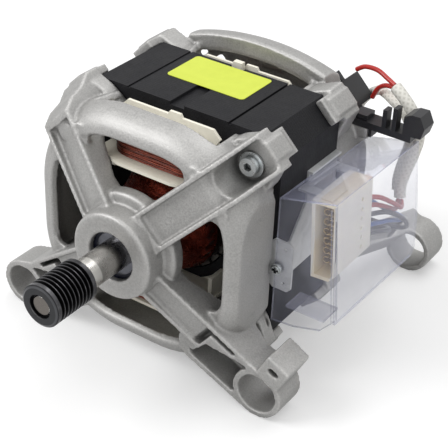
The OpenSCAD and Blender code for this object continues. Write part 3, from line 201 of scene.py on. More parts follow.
# Painted highlight and shade: ridges lighter, partly for wear and partly as highlight; creases darker.
crest = add(tree, "ShaderNodeMapRange", {"Value": add(tree, "ShaderNodeNewGeometry").outputs["Pointiness"],
                                         1: 0.49, 2: 0.58, 3: 0.9, 4: 1.3})
# Painted shade: the colour darkens in the hollows, where shade falls.
corner = add(tree, "ShaderNodeAmbientOcclusion", {"Distance": 7 * MM}, samples=4)
painted_hollow_shade = add(tree, "ShaderNodeMapRange", {"Value": corner.outputs["AO"], 1: 0.25, 2: 0.95, 3: 0.6, 4: 1.0})
edge_light_and_hollow_shade = add(tree, "ShaderNodeMath", {0: crest.outputs[0], 1: painted_hollow_shade.outputs[0]}, operation="MULTIPLY")
shaded = add(tree, "ShaderNodeMix", {0: 1.0, 6: toned.outputs[2], 7: edge_light_and_hollow_shade.outputs[0]}, data_type="RGBA",
             blend_type="MULTIPLY")
tree.links.new(shaded.outputs[2], shader.inputs["Base Color"])
sheen = add(tree, "ShaderNodeMapRange", {"Value": sand.outputs[0], 1: 0.3, 2: 0.7, 3: 0.42, 4: 0.62})
tree.links.new(sheen.outputs[0], shader.inputs["Roughness"])
shader.inputs["Metallic"].default_value = 0.72
bump = add(tree, "ShaderNodeBump", {"Height": sand.outputs[0], "Strength": 0.6, "Distance": 0.22 * MM})
tree.links.new(bump.outputs[0], shader.inputs["Normal"])

shape = bmesh.new()
corners = [shape.verts.new((radius * MM, y * MM, 0)) for radius, y in (
    (lip_inner, lip_front_y), (lip_outer, lip_front_y), (lip_outer, lip_back_y), (lip_inner, lip_back_y))]
section = [shape.edges.new(ends) for ends in zip(corners, corners[1:] + corners[:1])]
bmesh.ops.spin(shape, geom=corners + section, cent=(0, 0, 0), axis=(0, 1, 0), angle=2 * math.pi, steps=64,
               use_merge=True)
foot = shape.faces.new([shape.verts.new((x * MM, y * MM, -wall_web_half * MM)) for x, y in wall_web])
raised = bmesh.ops.extrude_face_region(shape, geom=[foot], use_keep_orig=True)["geom"]
bmesh.ops.translate(shape, vec=(0, 0, 2 * wall_web_half * MM),
                    verts=[part for part in raised if isinstance(part, bmesh.types.BMVert)])
bmesh.ops.recalc_face_normals(shape, faces=shape.faces)
lip_and_web = bpy.data.meshes.new("lip_and_web")
shape.to_mesh(lip_and_web)
shape.free()

for name in ("front_end_shield", "rear_end_shield"):
    shape = bmesh.new()
    shape.from_mesh(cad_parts[name].data)
    bmesh.ops.remove_doubles(shape, verts=shape.verts, dist=0.01 * MM)
    if name == "front_end_shield":
        shape.from_mesh(lip_and_web)
    rough = bpy.data.meshes.new(name + "_rough")
    shape.to_mesh(rough)
    shape.free()
    blank = bpy.data.objects.new(name + "_rough", rough)
    bpy.context.scene.collection.objects.link(blank)
    grid = blank.modifiers.new("grid", "REMESH")
    grid.mode = "VOXEL"
    grid.voxel_size = cast_grid * MM
    grid.use_smooth_shade = True
    ease = blank.modifiers.new("ease", "SMOOTH")
    ease.factor = 0.5
    ease.iterations = cast_easing
    thin = blank.modifiers.new("thin", "DECIMATE")
    thin.ratio = cast_faces_kept
    eased_skin = bpy.data.meshes.new_from_object(blank.evaluated_get(bpy.context.evaluated_depsgraph_get()))
    bpy.data.objects.remove(blank)
    bpy.data.meshes.remove(rough)
    casting = bpy.data.objects.new(name + "_casting", eased_skin)
    bpy.context.scene.collection.objects.link(casting)
    casting.data.materials.append(material)
    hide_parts(name)
    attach(casting, "motor_frame")
bpy.data.meshes.remove(lip_and_web)

# Stator stack: electrical steel sheets 0.5 mm thick, pressed together and dipped in black varnish, which
# dries to a dull sheen full of fine specks. The sheets' edges are drawn three times as thick, so that they
# show.
drawn_sheet = 1.5


def bands(pitch):
    """The Scale that sets the bands of a Wave texture this many millimetres apart."""
    return math.pi / 10 / (pitch * MM)


material, tree, shader, place = finish("varnished_laminations")
sheets = add(tree, "ShaderNodeTexWave", {"Vector": place, "Scale": bands(drawn_sheet), "Distortion": 0.6,
                                         "Detail": 1.0}, bands_direction="Y")
runs = add(tree, "ShaderNodeTexNoise", {"Vector": place, "Scale": 1 / (9 * MM), "Detail": 3.0})
specks = add(tree, "ShaderNodeTexNoise", {"Vector": place, "Scale": 1 / (0.6 * MM), "Detail": 2.0})
tone = add(tree, "ShaderNodeMix", {0: runs.outputs[0], 6: linear("1A1A1C"), 7: linear("262629")},
           data_type="RGBA")
grain = add(tree, "ShaderNodeMapRange", {"Value": specks.outputs[0], 1: 0.35, 2: 0.65, 3: 0.7, 4: 1.35})
speckled = add(tree, "ShaderNodeMix", {0: 1.0, 6: tone.outputs[2], 7: grain.outputs[0]}, data_type="RGBA",
               blend_type="MULTIPLY")
tree.links.new(speckled.outputs[2], shader.inputs["Base Color"])
shader.inputs["Specular IOR Level"].default_value = 0.16
sheen = add(tree, "ShaderNodeMapRange", {"Value": runs.outputs[0], 1: 0.3, 2: 0.7, 3: 0.4, 4: 0.55})
tree.links.new(sheen.outputs[0], shader.inputs["Roughness"])
bump = add(tree, "ShaderNodeBump", {"Height": sheets.outputs[0], "Strength": 0.16, "Distance": 0.1 * MM})
tree.links.new(bump.outputs[0], shader.inputs["Normal"])
paint(material, "stator_stack")

# Bobbins: glass filled polyamide in ivory, moulded in one shot and pushed over the poles. The skin is
# satin, and the fibres cloud it a little.
material, tree, shader, place = finish("ivory_polyamide")
cloud = add(tree, "ShaderNodeTexNoise", {"Vector": place, "Scale": 1 / (4 * MM), "Detail": 4.0})
tone = add(tree, "ShaderNodeMix", {0: cloud.outputs[0], 6: linear("FAF6E8"), 7: linear("EFEADA")},
           data_type="RGBA")
tree.links.new(tone.outputs[2], shader.inputs["Base Color"])
shader.inputs["Roughness"].default_value = 0.42
shader.inputs["IOR"].default_value = 1.53
bump = add(tree, "ShaderNodeBump", {"Height": cloud.outputs[0], "Strength": 0.25, "Distance": 0.1 * MM})
tree.links.new(bump.outputs[0], shader.inputs["Normal"])
paint(material, "upper_bobbin", "lower_bobbin")

# Field coils: enamelled copper wire wound round each bobbin in layers, each wire a little out of line. The
# wires that show are drawn, as closed loops on the line that the CAD winding takes, with painted shade in
# the gaps between the rows and some rows paler than others.
wire_d = 0.86
coil_pitch = 0.9
coil_middle_y = sum(corner[1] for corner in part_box("upper_field_coil")) / 2 / MM
coil_low_z = 33.67
coil_half_x = 26.13 - wire_d / 2
coil_half_y = 45.48 - wire_d / 2
coil_corner = 11.5 - wire_d / 2
least_corner = 0.6
coil_layers = 10
coil_rows = 10


def tubes(name, lines, radius, closed=False, sides=8):
    """Round wires, leads or sleeves of one thickness, along points in millimetres, as one mesh."""
    curve = bpy.data.curves.new(name, "CURVE")
    curve.dimensions = "3D"
    curve.bevel_depth = radius * MM
    curve.bevel_resolution = max(sides // 2 - 2, 0)
    curve.use_fill_caps = not closed
    for points in lines:
        spline = curve.splines.new("POLY")
        spline.points.add(len(points) - 1)
        for target, point in zip(spline.points, points):
            target.co = (point[0] * MM, point[1] * MM, point[2] * MM, 1)
        spline.use_cyclic_u = closed
    drawn = bpy.data.objects.new(name, curve)
    bpy.context.scene.collection.objects.link(drawn)
    made = bpy.data.meshes.new_from_object(drawn.evaluated_get(bpy.context.evaluated_depsgraph_get()))
    bpy.data.objects.remove(drawn)
    bpy.data.curves.remove(curve)
    for face in made.polygons:
        face.use_smooth = True
    return made


def joined(name, meshes):
    """Several meshes as one object at the origin, with their normals outward."""
    shape = bmesh.new()
    for part in meshes:
        shape.from_mesh(part)
    bmesh.ops.recalc_face_normals(shape, faces=shape.faces)
    made = bpy.data.meshes.new(name)
    shape.to_mesh(made)
    shape.free()
    for part in meshes:
        bpy.data.meshes.remove(part)
    piece = bpy.data.objects.new(name, made)
    bpy.context.scene.collection.objects.link(piece)
    return piece


material, tree, shader, place = finish("enamelled_copper_wire")
streak = add(tree, "ShaderNodeTexNoise", {"Vector": place, "Scale": 1 / (2.2 * MM), "Detail": 2.0})
tone = add(tree, "ShaderNodeMix", {0: streak.outputs[0], 6: linear("94422A"), 7: linear("4A1A10")},
           data_type="RGBA")
split = add(tree, "ShaderNodeSeparateXYZ", {0: place})
row_at = add(tree, "ShaderNodeMath", {0: split.outputs["Z"]}, operation="ABSOLUTE")
row_in = add(tree, "ShaderNodeMath", {0: row_at.outputs[0], 1: coil_low_z * MM}, operation="SUBTRACT")
row_up = add(tree, "ShaderNodeMath", {0: row_in.outputs[0], 1: coil_pitch * MM}, operation="DIVIDE")
in_row = add(tree, "ShaderNodeMath", {0: row_up.outputs[0], 1: 0.5}, operation="PINGPONG")
# Painted shade: each wire darkens towards the rows beside it, where the gaps are.
painted_row_gap_shade = add(tree, "ShaderNodeMapRange", {"Value": in_row.outputs[0], 1: 0.0, 2: 0.2, 3: 0.2, 4: 1.0})
row_number = add(tree, "ShaderNodeMath", {0: row_up.outputs[0]}, operation="FLOOR")
row_chance = add(tree, "ShaderNodeTexWhiteNoise", {"W": row_number.outputs[0]}, noise_dimensions="1D")
row_tone = add(tree, "ShaderNodeMapRange", {"Value": row_chance.outputs["Value"], 1: 0.0, 2: 1.0,
                                            3: 0.6, 4: 1.5})
shade = add(tree, "ShaderNodeMath", {0: painted_row_gap_shade.outputs[0], 1: row_tone.outputs[0]}, operation="MULTIPLY")
wound = add(tree, "ShaderNodeMix", {0: 1.0, 6: tone.outputs[2], 7: shade.outputs[0]}, data_type="RGBA",
            blend_type="MULTIPLY")
tree.links.new(wound.outputs[2], shader.inputs["Base Color"])
shader.inputs["Metallic"].default_value = 0.85
shader.inputs["Roughness"].default_value = 0.3
shader.inputs["Coat Weight"].default_value = 0.6
shader.inputs["Coat Roughness"].default_value = 0.12

wander = random.Random(7)
for name, side in (("upper_field_coil", 1), ("lower_field_coil", -1)):
    loops = []
    for layer in range(coil_layers):
        for row in range(coil_rows):
            if 0 < row < coil_rows - 1 and 0 < layer:
                continue
            half_x, half_y = coil_half_x - layer * coil_pitch, coil_half_y - layer * coil_pitch
            corner = max(coil_corner - layer * coil_pitch, least_corner)
            height = coil_low_z + wire_d / 2 + row * coil_pitch
            shift = [wander.uniform(-0.16, 0.02) for end in range(8)]
            lift = [wander.uniform(-0.06, 0.06) for end in range(8)]
            points = []
            for quarter, (to_x, to_y) in enumerate(((1, 1), (-1, 1), (-1, -1), (1, -1))):
                for step in range(7):
                    angle = math.radians(90 * quarter + 15 * step)
                    end = 2 * quarter + step // 4
                    reach = corner + shift[end]
                    points.append((to_x * (half_x - corner) + reach * math.cos(angle),
                                   coil_middle_y + to_y * (half_y - corner) + reach * math.sin(angle),
                                   side * (height + lift[end])))
                if quarter in (0, 2):
                    bulge = wander.uniform(-0.25, 0.0)
                    for share in (0.66, 0.33, 0, -0.33, -0.66):
                        across = half_y + bulge * (1 - share * share)
                        points.append((to_x * (half_x - corner) * share, coil_middle_y + to_y * across,
                                       side * (height + wander.uniform(-0.2, 0.2))))
            loops.append(points)
    coil = joined(name + "_wires", [tubes("turns", loops, wire_d / 2, closed=True)])
    coil.data.materials.append(material)
    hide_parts(name)
    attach(coil, "motor_frame")

# Shaft: steel bar, turned and ground between centres, with a collar behind the pulley painted bright, partly
# for its grinding and partly as a painted highlight, and dull ends where it was parted off. The tool's fine
# lines run round it, drawn 0.8 mm apart so that they show.
collar_end_y = 19.5
material, tree, shader, place = finish("turned_steel")
lines = add(tree, "ShaderNodeTexWave", {"Vector": place, "Scale": bands(0.8), "Distortion": 0.4},
            bands_direction="Y")
stain = add(tree, "ShaderNodeTexNoise", {"Vector": place, "Scale": 1 / (5 * MM), "Detail": 3.0})
tone = add(tree, "ShaderNodeMix", {0: stain.outputs[0], 6: linear("BBB9B5"), 7: linear("94928F")},
           data_type="RGBA")
along = add(tree, "ShaderNodeSeparateXYZ", {0: place})
# Painted highlight, in part: the collar is lighter than the rest of the shaft.
collar = add(tree, "ShaderNodeMapRange", {"Value": along.outputs["Y"], 1: collar_end_y * MM,
                                          2: (collar_end_y + 0.6) * MM, 3: 1.0, 4: 0.0})
bright = add(tree, "ShaderNodeMix", {0: collar.outputs[0], 6: tone.outputs[2], 7: linear("E9E7E2")},
             data_type="RGBA")
facing = add(tree, "ShaderNodeSeparateXYZ", {0: add(tree, "ShaderNodeTexCoord").outputs["Normal"]})
end_face = add(tree, "ShaderNodeMapRange",
               {"Value": facing.outputs["Y"], 1: -0.95, 2: -0.85, 3: 1.0, 4: 0.0})
parted = add(tree, "ShaderNodeMix", {0: end_face.outputs[0], 6: bright.outputs[2], 7: linear("77726D")},
             data_type="RGBA")
tree.links.new(parted.outputs[2], shader.inputs["Base Color"])
shader.inputs["Metallic"].default_value = 1.0
sheen = add(tree, "ShaderNodeMapRange", {"Value": stain.outputs[0], 1: 0.3, 2: 0.7, 3: 0.2, 4: 0.34})
tree.links.new(sheen.outputs[0], shader.inputs["Roughness"])
bump = add(tree, "ShaderNodeBump", {"Height": lines.outputs[0], "Strength": 0.2, "Distance": 0.05 * MM})
tree.links.new(bump.outputs[0], shader.inputs["Normal"])
paint(material, "shaft")

# Armature core: thin sheets of electrical steel, stamped with slots and pressed on the shaft. Their bare
# edges are ground bright, and are drawn 1.4 mm thick so that they show.
material, tree, shader, place = finish("armature_laminations")
sheets = add(tree, "ShaderNodeTexWave", {"Vector": place, "Scale": bands(1.4), "Distortion": 0.5},
             bands_direction="Y")
tone = add(tree, "ShaderNodeMix", {0: sheets.outputs[0], 6: linear("8D8A86"), 7: linear("5E5B58")},
           data_type="RGBA")
tree.links.new(tone.outputs[2], shader.inputs["Base Color"])
shader.inputs["Metallic"].default_value = 0.9
shader.inputs["Roughness"].default_value = 0.4
bump = add(tree, "ShaderNodeBump", {"Height": sheets.outputs[0], "Strength": 0.4, "Distance": 0.1 * MM})
tree.links.new(bump.outputs[0], shader.inputs["Normal"])
paint(material, "armature_core")

# Armature winding: enamelled wire laid from slot to slot across both ends of the stack, under and over the
# turns before it, until it makes a flat dome round the shaft. It is dipped in a clear resin that leaves the
# wires glossy. The body under the drawn turns is painted nearly black, as painted shade in the gaps.
stack_front_y, stack_rear_y = (corner[1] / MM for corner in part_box("stator_stack"))
dome = ((9.9, 13.0), (12.0, 16.5), (17.0, 16.8), (22.0, 14.5), (26.0, 10.0), (27.4, 5.0))
armature_slots = 24
row_radii = (12.4, 14.8, 17.4, 20.2, 23.0)
wire_gap = 0.62
turn_d = 0.64
wires_across = 4
half_steps = 5
material, tree, shader, place = finish("resin_dipped_winding")
stain = add(tree, "ShaderNodeTexNoise", {"Vector": place, "Scale": 1 / (3 * MM), "Detail": 3.0})
tone = add(tree, "ShaderNodeMix", {0: stain.outputs[0], 6: linear("7E2C1A"), 7: linear("2E100A")},
           data_type="RGBA")
tree.links.new(tone.outputs[2], shader.inputs["Base Color"])
shader.inputs["Metallic"].default_value = 0.85
sheen = add(tree, "ShaderNodeMapRange", {"Value": stain.outputs[0], 1: 0.3, 2: 0.7, 3: 0.2, 4: 0.38})
tree.links.new(sheen.outputs[0], shader.inputs["Roughness"])
# Painted shade: the body under the turns is nearly black, for the shade in the gaps between them.
resin, tree, shader, place = finish("winding_body_painted_shade")
stain = add(tree, "ShaderNodeTexNoise", {"Vector": place, "Scale": 1 / (1.4 * MM), "Detail": 3.0})
tone = add(tree, "ShaderNodeMix", {0: stain.outputs[0], 6: linear("2A100A"), 7: linear("0C0504")},
           data_type="RGBA")
tree.links.new(tone.outputs[2], shader.inputs["Base Color"])
shader.inputs["Roughness"].default_value = 0.3
bump = add(tree, "ShaderNodeBump", {"Height": stain.outputs[0], "Strength": 0.6, "Distance": 0.3 * MM})
tree.links.new(bump.outputs[0], shader.inputs["Normal"])
wander = random.Random(11)
turns = []
for face_y, outward in ((stack_front_y, -1), (stack_rear_y, 1)):
    for row, row_radius in enumerate(row_radii):
        for slot in range(armature_slots):
            middle = 2 * math.pi * (slot + 0.5 * (row % 2)) / armature_slots
            for wire in range(wires_across):
                nearest = row_radius + (wire - (wires_across - 1) / 2) * wire_gap
                nearest += wander.uniform(-0.12, 0.12)
                half_angle = math.acos(nearest / dome[-1][0])
                raised = wander.uniform(0.05, 0.3)
                points = []
                for step in range(-half_steps, half_steps + 1):
                    angle = half_angle * step / half_steps
                    radius = min(nearest / math.cos(angle), dome[-1][0])
                    depth = next(low + (high - low) * (radius - start) / (end - start) for
                                 (start, low), (end, high) in zip(dome, dome[1:]) if radius <= end + 1e-6)
                    points.append((radius * math.sin(middle + angle), face_y + outward * (depth + raised),
                                   radius * math.cos(middle + angle)))
                turns.append(points)
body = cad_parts["armature_winding"].data.copy()
shape = bmesh.new()
shape.from_mesh(body)
bmesh.ops.remove_doubles(shape, verts=shape.verts, dist=0.001 * MM)
for face in shape.faces:
    face.material_index = 1
shape.to_mesh(body)
shape.free()
armature_turns = joined("armature_turns", [body, tubes("turns", turns, turn_d / 2, sides=6)])
armature_turns.data.materials.append(material)
armature_turns.data.materials.append(resin)
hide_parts("armature_winding")
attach(armature_turns, "rotor")

# Commutator: bars of hard drawn copper, moulded into a hub and skimmed in a lathe. The brushes lay a brown
# film on them, and the skimming leaves lines that are drawn 0.7 mm apart so that they show.
material, tree, shader, place = finish("skimmed_commutator_copper")
track = add(tree, "ShaderNodeTexWave", {"Vector": place, "Scale": bands(0.7), "Distortion": 0.8},
            bands_direction="Y")
film = add(tree, "ShaderNodeTexNoise", {"Vector": place, "Scale": 1 / (3 * MM), "Detail": 3.0})
tone = add(tree, "ShaderNodeMix", {0: film.outputs[0], 6: linear("C77C4F"), 7: linear("7B4630")},
           data_type="RGBA")
tree.links.new(tone.outputs[2], shader.inputs["Base Color"])
shader.inputs["Metallic"].default_value = 1.0
shader.inputs["Roughness"].default_value = 0.28
bump = add(tree, "ShaderNodeBump", {"Height": track.outputs[0], "Strength": 0.2, "Distance": 0.05 * MM})
tree.links.new(bump.outputs[0], shader.inputs["Normal"])
paint(material, "commutator")

# Belt pulley: steel, turned with nine V grooves and blackened, pressed on the shaft's nose.
# The crests between the grooves are painted bright, partly rubbed and partly as a painted highlight.
pulley_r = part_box("belt_pulley")[1][0] / MM
pulley_face_y = -12.6
material, tree, shader, place = finish("blackened_steel")
flat = add(tree, "ShaderNodeVectorMath", {0: place, 1: (1, 0, 1)}, operation="MULTIPLY")
radius = add(tree, "ShaderNodeVectorMath", {0: flat.outputs[0]}, operation="LENGTH")
# Painted highlight, in part: a thin bright line on each crest, broken by the rubbing.
crest = add(tree, "ShaderNodeMapRange", {"Value": radius.outputs["Value"], 1: (pulley_r - 0.3) * MM,
                                         2: (pulley_r - 0.05) * MM, 3: 0.0, 4: 1.0})
rub = add(tree, "ShaderNodeTexNoise", {"Vector": place, "Scale": 1 / (3 * MM), "Detail": 2.0})
rubbed_and_highlit_crest = add(tree, "ShaderNodeMath", {0: crest.outputs[0], 1: rub.outputs[0]}, operation="MULTIPLY")
tone = add(tree, "ShaderNodeMix", {0: rubbed_and_highlit_crest.outputs[0], 6: linear("121214"), 7: linear("77777A")},
           data_type="RGBA")
along = add(tree, "ShaderNodeSeparateXYZ", {0: place})
nose = add(tree, "ShaderNodeMapRange", {"Value": along.outputs["Y"], 1: pulley_face_y * MM,
                                        2: (pulley_face_y + 0.3) * MM, 3: 1.0, 4: 0.0})
facing = add(tree, "ShaderNodeSeparateXYZ", {0: add(tree, "ShaderNodeTexCoord").outputs["Normal"]})
bevel = add(tree, "ShaderNodeMapRange", {"Value": facing.outputs["Y"], 1: -0.9, 2: -0.7, 3: 0.0, 4: 1.0})
polish = add(tree, "ShaderNodeMix", {0: bevel.outputs[0], 6: linear("38393B"), 7: linear("85868A")},
             data_type="RGBA")
faced = add(tree, "ShaderNodeMix", {0: nose.outputs[0], 6: tone.outputs[2], 7: polish.outputs[2]},
            data_type="RGBA")
tree.links.new(faced.outputs[2], shader.inputs["Base Color"])
shader.inputs["Metallic"].default_value = 0.8
shader.inputs["Roughness"].default_value = 0.32
bump = add(tree, "ShaderNodeBump", {"Height": rub.outputs[0], "Strength": 0.15, "Distance": 0.1 * MM})
tree.links.new(bump.outputs[0], shader.inputs["Normal"])
paint(material, "belt_pulley")

# Speed sensor's magnet: a ring of pressed and sintered ferrite on the shaft's tail. It is dark grey and
# matt, with a fine grain.
material, tree, shader, place = finish("pressed_ferrite")
grain = add(tree, "ShaderNodeTexNoise", {"Vector": place, "Scale": 1 / (0.8 * MM), "Detail": 2.0})
tone = add(tree, "ShaderNodeMix", {0: grain.outputs[0], 6: linear("3C3B3D"), 7: linear("28272A")},
           data_type="RGBA")
tree.links.new(tone.outputs[2], shader.inputs["Base Color"])
shader.inputs["Roughness"].default_value = 0.6
bump = add(tree, "ShaderNodeBump", {"Height": grain.outputs[0], "Strength": 0.3, "Distance": 0.1 * MM})
tree.links.new(bump.outputs[0], shader.inputs["Normal"])
paint(material, "tacho_magnet")

# Ball bearings, rings and balls: bearing steel, hardened, ground and honed. It is mirror like, with faint
# stains of oil, and its colour is painted dark, as painted shade from the deep hubs round it.
material, tree, shader, place = finish("ground_bearing_steel")
stain = add(tree, "ShaderNodeTexNoise", {"Vector": place, "Scale": 1 / (6 * MM), "Detail": 2.0})
# Painted shade: the steel's colour is kept dark for the shade inside the hubs.
tone = add(tree, "ShaderNodeMix", {0: stain.outputs[0], 6: linear("75767C"), 7: linear("54555B")},
           data_type="RGBA")
tree.links.new(tone.outputs[2], shader.inputs["Base Color"])
shader.inputs["Metallic"].default_value = 1.0
sheen = add(tree, "ShaderNodeMapRange", {"Value": stain.outputs[0], 1: 0.3, 2: 0.7, 3: 0.12, 4: 0.24})
tree.links.new(sheen.outputs[0], shader.inputs["Roughness"])
paint(material, "front_bearing_outer_ring", "front_bearing_inner_ring", "front_bearing_balls",
      "rear_bearing_outer_ring", "rear_bearing_inner_ring", "rear_bearing_balls")

# Bearing cages: natural polyamide, moulded in one piece and snapped over the balls. Grease has turned it
# a waxy yellow brown.
material, tree, shader, place = finish("natural_polyamide")
cloud = add(tree, "ShaderNodeTexNoise", {"Vector": place, "Scale": 1 / (2 * MM), "Detail": 2.0})
tone = add(tree, "ShaderNodeMix", {0: cloud.outputs[0], 6: linear("B5A786"), 7: linear("9E9071")},
           data_type="RGBA")
tree.links.new(tone.outputs[2], shader.inputs["Base Color"])
shader.inputs["Roughness"].default_value = 0.45
paint(material, "front_bearing_cage", "rear_bearing_cage")

# Bearing seals: nitrile rubber moulded on a steel washer, one on each side of the balls. It is a very dark
# blue with a soft bloom.
material, tree, shader, place = finish("nitrile_seal")
bloom = add(tree, "ShaderNodeTexNoise", {"Vector": place, "Scale": 1 / (1.5 * MM), "Detail": 2.0})
tone = add(tree, "ShaderNodeMix", {0: bloom.outputs[0], 6: linear("131830"), 7: linear("0B0D1A")},
           data_type="RGBA")
tree.links.new(tone.outputs[2], shader.inputs["Base Color"])
shader.inputs["Roughness"].default_value = 0.5
bump = add(tree, "ShaderNodeBump", {"Height": bloom.outputs[0], "Strength": 0.2, "Distance": 0.05 * MM})
tree.links.new(bump.outputs[0], shader.inputs["Normal"])
paint(material, "front_bearing_seals", "rear_bearing_seals")

# Black mouldings: the brush holders, the speed sensor's cap and the lead guide, in glass filled
# polyamide with the faint grain of a spark eroded mould.
material, tree, shader, place = finish("black_polyamide")
grain = add(tree, "ShaderNodeTexNoise", {"Vector": place, "Scale": 1 / (1.1 * MM), "Detail": 2.0})
tone = add(tree, "ShaderNodeMix", {0: grain.outputs[0], 6: linear("1A1A1D"), 7: linear("252528")},
           data_type="RGBA")
tree.links.new(tone.outputs[2], shader.inputs["Base Color"])
shader.inputs["Roughness"].default_value = 0.36
shader.inputs["IOR"].default_value = 1.53
bump = add(tree, "ShaderNodeBump", {"Height": grain.outputs[0], "Strength": 0.2, "Distance": 0.06 * MM})
tree.links.new(bump.outputs[0], shader.inputs["Normal"])
paint(material, "right_brush_holder", "left_brush_holder", "tacho_cap", "lead_guide")

# Speed sensor's coil: fine enamelled wire, machine wound under the cap. Its turns are drawn 0.6 mm apart,
# so that they show.
material, tree, shader, place = finish("fine_enamelled_winding")
turns = add(tree, "ShaderNodeTexWave", {"Vector": place, "Scale": bands(0.6), "Distortion": 0.6},
            bands_direction="Y")
tone = add(tree, "ShaderNodeMix", {0: turns.outputs[0], 6: linear("A2552F"), 7: linear("5C2916")},
           data_type="RGBA")
tree.links.new(tone.outputs[2], shader.inputs["Base Color"])
shader.inputs["Metallic"].default_value = 0.7
shader.inputs["Roughness"].default_value = 0.35
paint(material, "tacho_coil")

# Brushes: pressed electrographite, ground to the commutator's curve and free to slide in their holders.
# It is matt, nearly black and slightly speckled.
material, tree, shader, place = finish("electrographite")
grain = add(tree, "ShaderNodeTexNoise", {"Vector": place, "Scale": 1 / (0.7 * MM), "Detail": 3.0})
tone = add(tree, "ShaderNodeMix", {0: grain.outputs[0], 6: linear("474543"), 7: linear("2A2928")},
           data_type="RGBA")
tree.links.new(tone.outputs[2], shader.inputs["Base Color"])
shader.inputs["Metallic"].default_value = 0.3
shader.inputs["Roughness"].default_value = 0.55
bump = add(tree, "ShaderNodeBump", {"Height": grain.outputs[0], "Strength": 0.35, "Distance": 0.08 * MM})
tree.links.new(bump.outputs[0], shader.inputs["Normal"])
paint(material, "right_brush", "left_brush")

# Brush springs: eight turns of hard drawn wire that press each brush in, wound a little closer at the ends.
# The wire is bright, with the faint grey film of the drawing.
spring_low = 47.57
spring_high = 60.23
spring_y = sum(corner[1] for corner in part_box("right_brush_spring")) / 2 / MM
spring_r = 1.9
spring_wire_r = 0.25
spring_turns = 8
steps_per_turn = 18
end_closing = 0.035
material, tree, shader, place = finish("hard_drawn_spring_wire")
film = add(tree, "ShaderNodeTexNoise", {"Vector": place, "Scale": 1 / (1.2 * MM), "Detail": 2.0})
tone = add(tree, "ShaderNodeMix", {0: film.outputs[0], 6: linear("C2C4C8"), 7: linear("8F9196")},
           data_type="RGBA")
tree.links.new(tone.outputs[2], shader.inputs["Base Color"])
shader.inputs["Metallic"].default_value = 1.0
shader.inputs["Roughness"].default_value = 0.28
for name, side in (("right_brush_spring", 1), ("left_brush_spring", -1)):
    out = Vector((1, 0, 1)).normalized() * side
    sideways = Vector((-1, 0, 1)).normalized() * side
    points = []
    for step in range(steps_per_turn * spring_turns + 1):
        share = step / (steps_per_turn * spring_turns)
        along = share - end_closing * math.sin(2 * math.pi * share)
        reach = spring_low + spring_wire_r + (spring_high - spring_low - 2 * spring_wire_r) * along
        angle = 2 * math.pi * spring_turns * share
        at = out * reach + sideways * (spring_r * math.sin(angle))
        points.append((at.x, spring_y + spring_r * math.cos(angle), at.z))
    spring = joined(name + "_wire", [tubes("coil", [points], spring_wire_r)])
    spring.data.materials.append(material)
    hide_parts(name)
    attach(spring, "motor_frame")
    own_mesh(spring)

# Bolts and screws: cold headed steel with a bluish zinc plating, cloudy where hands have touched it. Their
# sockets and slots are darkened with painted shade.
material, tree, shader, place = finish("blue_zinc_plate")
cloud = add(tree, "ShaderNodeTexNoise", {"Vector": place, "Scale": 1 / (2.5 * MM), "Detail": 3.0})
tone = add(tree, "ShaderNodeMix", {0: cloud.outputs[0], 6: linear("F4F6F6"), 7: linear("D5DBDE")},
           data_type="RGBA")
# Painted shade: the colour darkens inside the sockets and slots.
hollow = add(tree, "ShaderNodeAmbientOcclusion", {"Distance": 3 * MM}, samples=6)
painted_recess_shade = add(tree, "ShaderNodeMapRange", {"Value": hollow.outputs["AO"], 1: 0.3, 2: 0.85, 3: 0.08, 4: 1.0})
recess_shaded_zinc = add(tree, "ShaderNodeMix", {0: 1.0, 6: tone.outputs[2], 7: painted_recess_shade.outputs[0]}, data_type="RGBA",
           blend_type="MULTIPLY")
tree.links.new(recess_shaded_zinc.outputs[2], shader.inputs["Base Color"])
shader.inputs["Metallic"].default_value = 1.0
sheen = add(tree, "ShaderNodeMapRange", {"Value": cloud.outputs[0], 1: 0.3, 2: 0.7, 3: 0.22, 4: 0.4})
tree.links.new(sheen.outputs[0], shader.inputs["Roughness"])
paint(material, "clamping_bolts", "bracket_screw", "brush_holder_screws")

# Terminal bracket: galvanised sheet, stamped, folded and held by one screw. It shows the pale spangle of
# the zinc bath.
material, tree, shader, place = finish("galvanised_sheet")
spangle = add(tree, "ShaderNodeTexVoronoi", {"Vector": place, "Scale": 1 / (4 * MM)})
tone = add(tree, "ShaderNodeMix", {0: spangle.outputs["Color"], 6: linear("E6E7E8"), 7: linear("D4D5D6")},
           data_type="RGBA")
tree.links.new(tone.outputs[2], shader.inputs["Base Color"])
shader.inputs["Metallic"].default_value = 0.5
shader.inputs["Roughness"].default_value = 0.42
bump = add(tree, "ShaderNodeBump",
           {"Height": spangle.outputs["Distance"], "Strength": 0.1, "Distance": 0.05 * MM})
tree.links.new(bump.outputs[0], shader.inputs["Normal"])
paint(material, "terminal_bracket")

# Terminal block: white polyamide, moulded, slightly warm, with a satin skin that lets a little light
# through. Inside its sockets it is painted a warmer, darker cream, as painted shade.
socket_x = 78.4
socket_half = 4.5
material, tree, shader, place = finish("white_polyamide")
cloud = add(tree, "ShaderNodeTexNoise", {"Vector": place, "Scale": 1 / (3 * MM), "Detail": 3.0})
tone = add(tree, "ShaderNodeMix", {0: cloud.outputs[0], 6: linear("FFFAF0"), 7: linear("F6F0E4")},
           data_type="RGBA")
